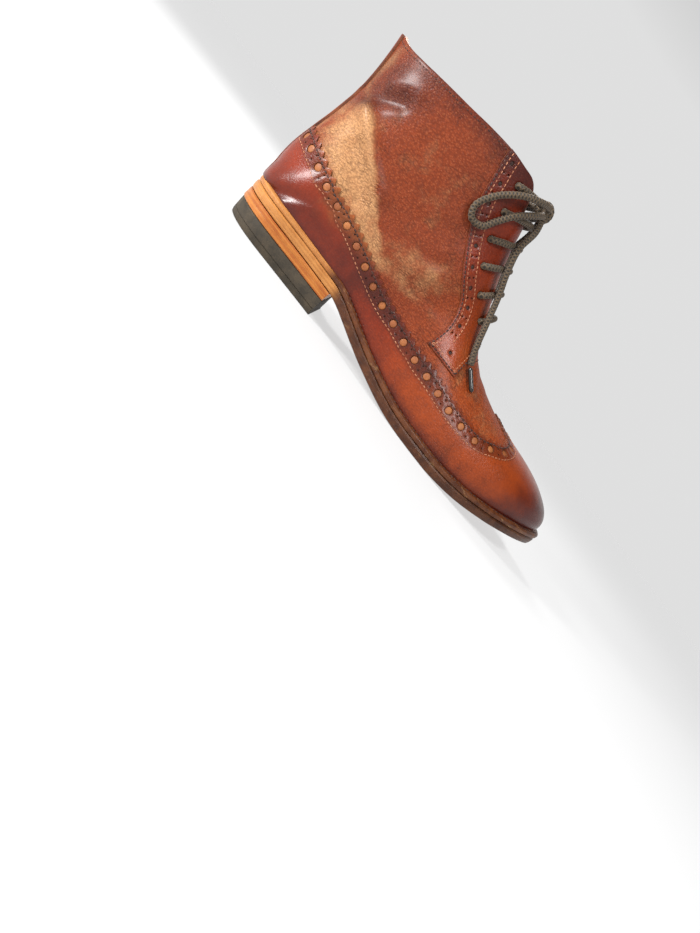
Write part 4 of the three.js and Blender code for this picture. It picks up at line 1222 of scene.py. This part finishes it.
band_path = np.concatenate([place(*hole_line.T)[::4], place(*mirrored(hole_line).T)[::4]])
top_lift = GAP + OVERLAY
overlay_thick = top_lift - 0.02
overlay_finishes = [trim_calf, cut_edge, cut_edge]
wing_rings = [ring(h, HOLE, 18) for h in wing_holes] + [ring(h, PINHOLE, PIN_CORNERS) for h in pin_spots]
wing = panel(
    "wing", [wing_loop, *wing_rings], top_lift, overlay_thick, overlay_finishes, rows=0.07, degrees=1.9,
    pebble=0.55, burnish_and_shade=0.25, band=in_band, clear=0.6, toe_cap=True,
)


# The quarters and vamp in one, under the overlays

def half_upper(side, collar, throat):
    back_seam = np.array([[HEEL_ROW, side * 180.0], [collar[0][0], side * 180.0]])
    return np.concatenate([
        across_front(seat) * (1, side), even(seat, SEAT_STEP) * (1, side), even(back_seam, SEAT_STEP),
        even(collar, COLLAR_STEP), even(throat[::-1], COLLAR_STEP),
    ])


upper_loop = closed_loop(
    half_upper(1, collar_inner, throat_inner), half_upper(-1, collar_outer, throat_outer)[::-1],
)
lace_spots = [(row, side * angle) for row, angle in LACE_ROWS for side in (1, -1)]
upper = panel(
    "quarters_and_vamp", [upper_loop, *[ring(s, LACE_HOLE / 2, 16) for s in lace_spots]], 0.0, WALL,
    [upper_calf, lining, collar_rim], rows=0.072, degrees=1.9, clear=0.7, toe_cap=True, seam=True, drop=0.4,
)


# Facings

DOT_INSET, DOT_PITCH, FIRST_DOT, DOT, DOTS_FROM = 6.1, 12.4, 5.0, 1.35, 58
DOT_PIN_OFFSET = 1.5
TAB_HOLE = (157.5, 54.5)  # x and z of the hole in the box tab
# The tab's front, up from its foot: x; x and z; then twice x and y off the throat's middle
TAB_FOOT, TAB_SIDE, TAB_TURN, TAB_INNER = 170.9, (169.9, 60.5), (169.3, 11.5), (168.2, 7.0)


def facing_lines(side):
    """Rear, foot and front edges of a facing, from the collar down, forward and up to the throat."""
    x, z = side_line(FACING_REAR, 200)
    rear = below_collar(from_side(x, z, side)[0])
    z_tab = float(z[-1])
    foot_x = np.linspace(float(x[-1]), TAB_FOOT, 20)
    foot = from_side(foot_x, np.full(20, z_tab), side)[0]
    over_foot = [from_above(x, throat_ridge + side * y)[0] for x, y in (TAB_TURN, TAB_INNER)]
    front = np.vstack([foot[-1], from_side(*TAB_SIDE, side)[0][0], *over_foot])
    return even(rear, FACING_STEP), even(foot, FACING_STEP), smooth_line(front, FACING_STEP)


def facing(side, collar, throat):
    """A facing, the three edges that its stitches follow, and its row of punched holes."""
    rear, foot, front = facing_lines(side)
    p = place(*rear[:1].T)[0]
    collar_part = collar[place(*collar.T)[:, 0] > p[0] + 0.4]
    throat_part = throat[place(*throat.T)[:, 2] > place(*front[-1:].T)[0, 2] + 0.5]
    top = even(collar_part[::-1], FACING_STEP)
    loop = closed_loop(rear, foot, front, even(throat_part, FACING_STEP), top)
    line = beside(rear, -side * DOT_INSET)
    dots, gaps = every(line, DOT_PITCH, FIRST_DOT), every(line, DOT_PITCH, FIRST_DOT + DOT_PITCH / 2)
    dots, gaps = (s[place(*s.T)[:, 2] > DOTS_FROM] for s in (dots, gaps))
    pins = np.concatenate([beside(gaps, DOT_PIN_OFFSET), beside(gaps, -DOT_PIN_OFFSET)])
    tab = from_side(*TAB_HOLE, side)[0]
    holes = [ring(s, LACE_HOLE / 2 - 0.1, 16) for s in lace_spots if np.sign(s[1]) == side]
    holes += [ring(s, DOT, 12) for s in [*dots, *tab]] + [ring(s, PINHOLE, PIN_CORNERS) for s in pins]
    made = panel(
        "facing_outer_calf" if side < 0 else "facing_inner_calf", [loop, *holes], top_lift, overlay_thick,
        overlay_finishes, rows=0.06, degrees=1.6, pebble=0.6, burnish_and_shade=0.32, clear=0.5,
    )
    return made, rear, foot, front, dots


facing_outer, rear_outer, foot_outer, front_outer, dots_outer = facing(-1, collar_outer, throat_outer)
facing_inner, rear_inner, foot_inner, front_inner, dots_inner = facing(1, collar_inner, throat_inner)

# Back stay, over the seam
stay_edge = even(stay_side(STAY_WIDTH / 2), COLLAR_STEP)
behind = np.linspace(at_stay(np.array([HEEL_ROW - 0.01]), STAY_WIDTH / 2)[0], 180, 8)[1:-1]
stay_foot = np.stack([np.interp(behind, seat[:, 1], seat[:, 0]), behind], -1)
stay_top = collar_inner[collar_inner[:, 1] > stay_edge[-1, 1]]
half_stay = np.concatenate([stay_foot[::-1], stay_edge, even(stay_top[::-1], COLLAR_STEP)])
other_half = np.stack([half_stay[:, 0], 360 - half_stay[:, 1]], -1)
STAY_LIFT, STAY_THICK = 1.75, 1.7
stay = panel(
    "back_stay_calf", [closed_loop(half_stay, other_half[::-1])], STAY_LIFT, STAY_THICK, overlay_finishes,
    rows=0.06, degrees=1.6, pebble=0.5, burnish_and_shade=0.25, clear=0.5,
)

# Tongue, seen between the facings
TONGUE_FOOT = 62.0
tongue_top = float(feather(SOLE_LENGTH * 0.27)) + UPPER_RISE * 0.905 - 0.3
tongue_y = np.array([0, 12, 22, 24.5, 25, 25, 24, 22, 20])
tongue_z = np.array([*(tongue_top - np.array([0, 0, 2, 7, 16])), 110, 85, 72, TONGUE_FOOT])
tongue_side = smooth_line(from_front(tongue_y + 0.01, tongue_z), 1.2)
tongue_foot = from_front(np.linspace(20, 0.01, 10), np.full(10, TONGUE_FOOT))
tongue = panel(
    "tongue_calf", [both_sides(np.concatenate([tongue_side, tongue_foot]))], -WALL - GAP, TONGUE,
    [upper_calf, lining, cut_edge], rows=0.1, degrees=2.5, pebble=0.7, burnish_and_shade=0.35, drop=0.4,
)

for piece, node in (
    (wing, "wing_overlay"), (upper, "upper"), (facing_outer, "facing_outer"), (facing_inner, "facing_inner"),
    (stay, "back_stay"), (tongue, "tongue"),
):
    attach(piece, "root")
    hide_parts(node)


# Small things that repeat: stitches, discs and painted shade in small holes

def socket(tree, name, kind):
    """The identifier of a new input."""
    return tree.interface.new_socket(name=name, in_out="INPUT", socket_type=kind).identifier


def repeating_tree(along_path, segments, rings):
    """Nodes that set a small flattened round body at each point, or at a pitch along each path."""
    tree = bpy.data.node_groups.new("along" if along_path else "at_points", "GeometryNodeTree")
    tree.interface.new_socket(name="Geometry", in_out="INPUT", socket_type="NodeSocketGeometry")
    tree.interface.new_socket(name="Geometry", in_out="OUTPUT", socket_type="NodeSocketGeometry")
    ids = {
        "pitch": socket(tree, "Pitch", "NodeSocketFloat"), "size": socket(tree, "Size", "NodeSocketVector"),
        "finish": socket(tree, "Finish", "NodeSocketMaterial"),
    }
    nodes, link = tree.nodes, tree.links.new
    start, end = nodes.new("NodeGroupInput"), nodes.new("NodeGroupOutput")
    ball = nodes.new("GeometryNodeMeshUVSphere")
    ball.inputs["Segments"].default_value, ball.inputs["Rings"].default_value = segments, rings
    ball.inputs["Radius"].default_value = 0.5
    out = nodes.new("GeometryNodeInputNamedAttribute")
    out.data_type = "FLOAT_VECTOR"
    out.inputs["Name"].default_value = "out"
    onto = nodes.new("GeometryNodeInstanceOnPoints")
    lie = nodes.new("FunctionNodeAlignRotationToVector")
    lie.axis = "Z"
    if along_path:
        curve, spaced, tangent = (nodes.new(k) for k in (
            "GeometryNodeMeshToCurve", "GeometryNodeResampleCurve", "GeometryNodeInputTangent",
        ))
        spaced.mode = "LENGTH"
        link(start.outputs["Geometry"], curve.inputs[0])
        link(curve.outputs[0], spaced.inputs["Curve"])
        link(start.outputs["Pitch"], spaced.inputs["Length"])
        link(spaced.outputs[0], onto.inputs["Points"])
        turn = nodes.new("FunctionNodeAlignRotationToVector")
        turn.axis = "X"
        link(tangent.outputs[0], turn.inputs["Vector"])
        lie.pivot_axis = "X"
        link(turn.outputs[0], lie.inputs["Rotation"])
    else:
        link(start.outputs["Geometry"], onto.inputs["Points"])
    link(out.outputs[0], lie.inputs["Vector"])
    link(ball.outputs["Mesh"], onto.inputs["Instance"])
    link(lie.outputs[0], onto.inputs["Rotation"])
    link(start.outputs["Size"], onto.inputs["Scale"])
    real, paint = nodes.new("GeometryNodeRealizeInstances"), nodes.new("GeometryNodeSetMaterial")
    link(onto.outputs[0], real.inputs[0])
    link(real.outputs[0], paint.inputs[0])
    link(start.outputs["Finish"], paint.inputs["Material"])
    link(paint.outputs[0], end.inputs[0])
    return tree, ids


TREES = {True: repeating_tree(True, 8, 6), False: repeating_tree(False, 20, 8)}


def repeated(name, paths, size, finish, pitch=None):
    """Small bodies at points, or at a pitch along paths. A path is its points and the ways out there."""
    points = np.concatenate([p for p, _ in paths])
    out = np.concatenate([o for _, o in paths])
    edges, start = [], 0
    for p, _ in paths:
        edges += [(start + i, start + i + 1) for i in range(len(p) - 1)]
        start += len(p)
    mesh = bpy.data.meshes.new(name)
    mesh.from_pydata([tuple(p) for p in placed(points)], edges if pitch else [], [])
    ways = mesh.attributes.new("out", "FLOAT_VECTOR", "POINT")
    ways.data.foreach_set("vector", np.asarray(out, np.float32).ravel())
    carrier = bpy.data.objects.new(name + "_points", mesh)
    bpy.context.scene.collection.objects.link(carrier)
    tree, ids = TREES[pitch is not None]
    made = carrier.modifiers.new("repeat", "NODES")
    made.node_group = tree
    made[ids["size"]] = tuple(s / 1000 for s in size)
    made[ids["finish"]] = finish
    if pitch:
        made[ids["pitch"]] = pitch / 1000
    bpy.context.view_layer.update()
    shape = bpy.data.meshes.new_from_object(carrier.evaluated_get(bpy.context.evaluated_depsgraph_get()))
    carrier.modifiers.remove(made)
    bpy.data.objects.remove(carrier)
    shape.name = name
    shape.polygons.foreach_set("use_smooth", np.ones(len(shape.polygons), bool))
    piece = bpy.data.objects.new(name, shape)
    bpy.context.scene.collection.objects.link(piece)
    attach(piece, "root")


def over_leather(spots, lift):
    """Points over a line of spots, and the ways out."""
    spots = np.asarray(spots, float)
    return covered(*spots.T, np.full(len(spots), float(lift))), normal(*spots.T)


def row_of(line, distance):
    """A stitch row beside a line, every piece of it on the last."""
    return even(smooth_line(every(beside(line, distance), 7.0), ROW_STEP), ROW_STEP)


ROW_STEP = 1.5
STITCH, EDGE_STITCH, COLLAR_STITCH = (2.1, 0.7, 0.7), (2.5, 1.05, 0.9), (2.0, 0.7, 0.6)
WING_PITCH, FACING_PITCH, EDGE_PITCH = 2.95, 2.7, 2.9
BELOW_COLLAR = 1.6  # how far under the collar a facing's rows stop
WING_EDGE_ROW, WING_ROW, COLLAR_ROW, STAY_ROW = 2.5, 10.4, 2.3, 1.6
for name, distance, size, finish, pitch in (
    ("wing_edge_stitches", WING_EDGE_ROW, EDGE_STITCH, dark_thread_and_hole_shade, EDGE_PITCH),
    ("wing_stitches", WING_ROW, STITCH, pale_thread, WING_PITCH),
):
    half = row_of(wing_top, -distance)
    half = half[half[:, 1] > 0.6]
    repeated(name, [over_leather(line, top_lift) for line in (half, mirrored(half))], size, finish, pitch)

EDGE_ROW, OUTER_ROW, INNER_ROW = 1.3, 3.2, 9.2  # distances from the facing's edge
facing_rows, edge_rows = [], []
for side, rear, foot, front in (
    (-1, rear_outer, foot_outer, front_outer), (1, rear_inner, foot_inner, front_inner),
):
    border = np.concatenate([rear, foot[1:], front[1:-1]])
    for distance, made in ((EDGE_ROW, edge_rows), (OUTER_ROW, facing_rows)):
        line = below_collar(beside(border, -side * distance), BELOW_COLLAR)
        made.append(over_leather(even(line, 1.2), top_lift))
    line = below_collar(beside(rear, -side * INNER_ROW), BELOW_COLLAR)
    line = line[place(*line.T)[:, 2] > DOTS_FROM + 2]
    facing_rows.append(over_leather(even(line, ROW_STEP), top_lift + 0.02))
repeated("facing_stitches", facing_rows, STITCH, pale_thread, FACING_PITCH)
repeated("facing_edge_stitches", edge_rows, EDGE_STITCH, dark_thread_and_hole_shade, FACING_PITCH)

collar_rows = []
for side, collar, rear in ((1, collar_inner, rear_inner), (-1, collar_outer, rear_outer)):
    line = even(beside(collar, side * COLLAR_ROW), ROW_STEP)
    rear_x = place(*rear[:1].T)[0, 0]
    line = line[(place(*line.T)[:, 0] < rear_x - 1) & (np.abs(line[:, 1]) < stay_edge[-1, 1] - 1)]
    collar_rows.append(over_leather(line, -0.05))
stay_line = beside(stay_edge[4:-3], -STAY_ROW)
for line in (stay_line, mirrored(stay_line)):
    collar_rows.append(over_leather(even(line, ROW_STEP), STAY_LIFT - 0.33))
repeated("collar_stitches", collar_rows, COLLAR_STITCH, dark_thread_and_hole_shade, FACING_PITCH)

# The arched seam in front of the throat
ARCH_HALF, ARCH_X, ARCH_DEEP = 24, 176.5, 5.5
arch_y = np.linspace(-ARCH_HALF, ARCH_HALF, 60)
arch = from_above(ARCH_X - ARCH_DEEP * (np.abs(arch_y - throat_ridge) / ARCH_HALF) ** 2, arch_y)
repeated("vamp_stitches", [over_leather(even(arch, ROW_STEP), 0.05)], STITCH, dark_thread_and_hole_shade, EDGE_PITCH)

# Discs in the wing's holes, and painted shade discs in the small ones
tab_spots = [from_side(*TAB_HOLE, side)[0][0] for side in (-1, 1)]
for name, spots, lift, size, finish in (
    ("wing_discs", wing_holes, 0.28, (4.9, 4.9, 0.9), disc_hide),
    ("pinhole_shade", pin_spots, 0.2, (1.3, 1.3, 0.5), dark_thread_and_hole_shade),
    ("punched_hole_shade", [*dots_outer, *dots_inner, *tab_spots], 0.18, (2.9, 2.9, 0.6), dark_thread_and_hole_shade),
):
    repeated(name, [over_leather(np.array(spots), lift)], size, finish)


# Sole

def outline(share, inset):
    """x, middle line and half width of the sole's edge at length shares."""
    ends = round_end(HEEL_ROUND - share, 0, HEEL_ROUND, END_POWER) * round_end(share, TOE_ROUND, 1, END_POWER)
    half = (BALL_WIDTH * along(SOLE_OUTLINE, 2, share) - inset) * np.maximum(ends, 1e-4)
    return inset + (SOLE_LENGTH - 2 * inset) * share, BALL_WIDTH * along(SOLE_OUTLINE, 1, share), half


def sole_layer(name, levels, finish, node, end):
    """A layer of the sole, from its edge's levels bottom up, each an inset and a height along the boot."""
    if end < 1:
        share = end * (1 - np.cos(np.linspace(0, math.pi / 2, 110)))
    else:
        share = 0.5 - 0.5 * np.cos(np.linspace(0, math.pi, 200))
    sides, rings = [], []
    for inset, height, over in levels:
        x, middle, half = outline(share, inset)
        sides.append((x, middle, half, height(x) + over))
    bottom, top = sides[0], sides[-1]
    flat = np.linspace(-1, 1, SOLE_ACROSS)[1:-1]
    for x, middle, half, z in sides:
        rings.append(np.stack([x, middle + half, z], -1))
    rings += [np.stack([top[0], top[1] - top[2] * t, top[3]], -1) for t in flat]
    for x, middle, half, z in sides[::-1]:
        rings.append(np.stack([x, middle - half, z], -1))
    rings += [np.stack([bottom[0], bottom[1] + bottom[2] * t, bottom[3]], -1) for t in flat]
    points = np.stack(rings, 1)
    n, m = points.shape[:2]
    faces = []
    for i in range(0, (n - 1) * m, m):
        for k in range(m):
            after = (k + 1) % m
            faces.append((i + m + k, i + m + after, i + after, i + k))
    faces += [tuple(range(m)), tuple((n - 1) * m + k for k in range(m))[::-1]]
    piece = add_mesh(name, points.reshape(-1, 3), faces, [finish], crease=30)
    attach(piece, "root")
    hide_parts(node)


def outsole_top(x):
    return underside(x) + OUTSOLE


def lift_low(x):
    return 0 * x + RUBBER + GAP


def lift_high(x):
    return np.maximum(underside(x) - GAP, RUBBER + GAP + LIFT_LEAST)


def floor_level(x):
    return 0 * x


SOLE_ACROSS = 9  # points across a layer's top and underside
LIFT_LEAST = 1.7
HEEL_END = HEEL_LENGTH / SOLE_LENGTH
# Each layer: finish, CAD node, slot, where it ends, and its levels as inset, height line and mm over it
LAYERS = {
    "welt_strip": (welt_finish, "welt", "sole_leather", 1.0, [
        (0.7, outsole_top, 0), (0.1, outsole_top, 0.6), (0, outsole_top, 1.4), (0.1, feather, -1.6),
        (0.6, feather, -0.9), (1.5, feather, -0.35),
    ]),
    "outsole_leather": (outsole_finish, "outsole", "sole_leather", 1.0, [
        (1.7, underside, 0), (0.5, underside, 0.5), (0.2, underside, 1.6), (0, underside, 3.2),
        (0.1, outsole_top, -1.4), (0.9, outsole_top, -0.3),
    ]),
    "heel_stack": (lift_finish, "heel_lift", "heel_leather", HEEL_END, [
        (0.9, lift_low, 0), (0.5, lift_low, 0.5), (0.45, lift_high, -0.6), (0.8, lift_high, 0),
    ]),
    "heel_rubber_piece": (rubber_finish, "heel_top_piece", "heel_rubber", HEEL_END, [
        (3.6, floor_level, 0), (2.6, floor_level, 0.5), (2.0, floor_level, 2.2), (1.75, floor_level, 4.2),
        (2.1, floor_level, 4.35), (2.1, floor_level, 4.65), (1.7, floor_level, 4.8), (1.1, floor_level, 11.2),
        (1.4, floor_level, 12),
    ]),
}
for name, (finish, node, slot, end, levels) in LAYERS.items():
    sole_layer(name, levels, finish, node, end)

# Welt stitches
WELT_STITCH, WELT_PITCH, WELT_ROW = (2.6, 1.1, 0.8), 3.4, 2.6
welt_rows = []
for side in (-1, 1):
    x, middle, half = outline(np.linspace(0.25, 0.985, 300), WELT_ROW)
    line = np.stack([x, middle + side * half, feather(x) - 0.3], -1)
    welt_rows.append((line, np.tile((0, 0, 1.0), (len(line), 1))))
repeated("welt_stitches", welt_rows, WELT_STITCH, dark_thread_and_hole_shade, WELT_PITCH)

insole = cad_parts["insole"]
insole.data.materials.clear()
insole.data.materials.append(lining)


# Floor, light and look

floor_mesh = bpy.data.meshes.new("floor")
FLOOR = 6  # metres of floor each way
floor_corners = [(-FLOOR, -FLOOR, 0), (FLOOR, -FLOOR, 0), (FLOOR, FLOOR, 0), (-FLOOR, FLOOR, 0)]
floor_mesh.from_pydata(floor_corners, [], [(0, 1, 2, 3)])
floor = bpy.data.objects.new("floor", floor_mesh)
bpy.context.scene.collection.objects.link(floor)
pale = Finish("pale_floor")
floor_mesh.materials.append(pale.set(
    Base_Color=(0.32, 0.32, 0.32, 1), Roughness=0.9, Specular_IOR_Level=0.1, Emission_Color=(1, 1, 1, 1),
    Emission_Strength=0.62,
))


def lamp(name, at, target, size, power):
    """A soft square light looking at a place in the boot."""
    data = bpy.data.lights.new(name, "AREA")
    data.size, data.energy = size / 1000, power
    light = bpy.data.objects.new(name, data)
    bpy.context.scene.collection.objects.link(light)
    spot, aim = Vector(placed(at)), Vector(placed(target))
    light.matrix_world = Matrix.Translation(spot) @ (aim - spot).to_track_quat("-Z", "Y").to_matrix().to_4x4()


lamp("key", (-540, -340, 300), (90, 0, 70), 170, 7.6)
lamp("fill", (260, -520, 620), (150, 0, 50), 220, 3.2)
lamp("rim", (-200, 520, 560), (60, 0, 90), 260, 4)
world = bpy.data.worlds.new("studio")
bpy.context.scene.world = world
world.use_nodes = True
sky, sky_link = world.node_tree.nodes, world.node_tree.links.new
looking, split, rise = (
    sky.new(kind) for kind in ("ShaderNodeTexCoord", "ShaderNodeSeparateXYZ", "ShaderNodeMapRange")
)
sky_link(looking.outputs["Generated"], split.inputs[0])
sky_link(split.outputs[2], rise.inputs["Value"])
# Bright along the horizon, dim overhead
for key, value in (("From Min", 0.35), ("From Max", 0.7), ("To Min", 0.74), ("To Max", 0.12)):
    rise.inputs[key].default_value = value
sky_link(rise.outputs["Result"], sky["Background"].inputs["Strength"])
sky["Background"].inputs["Color"].default_value = (1, 1, 1, 1)
bpy.context.scene.view_settings.view_transform = "Standard"
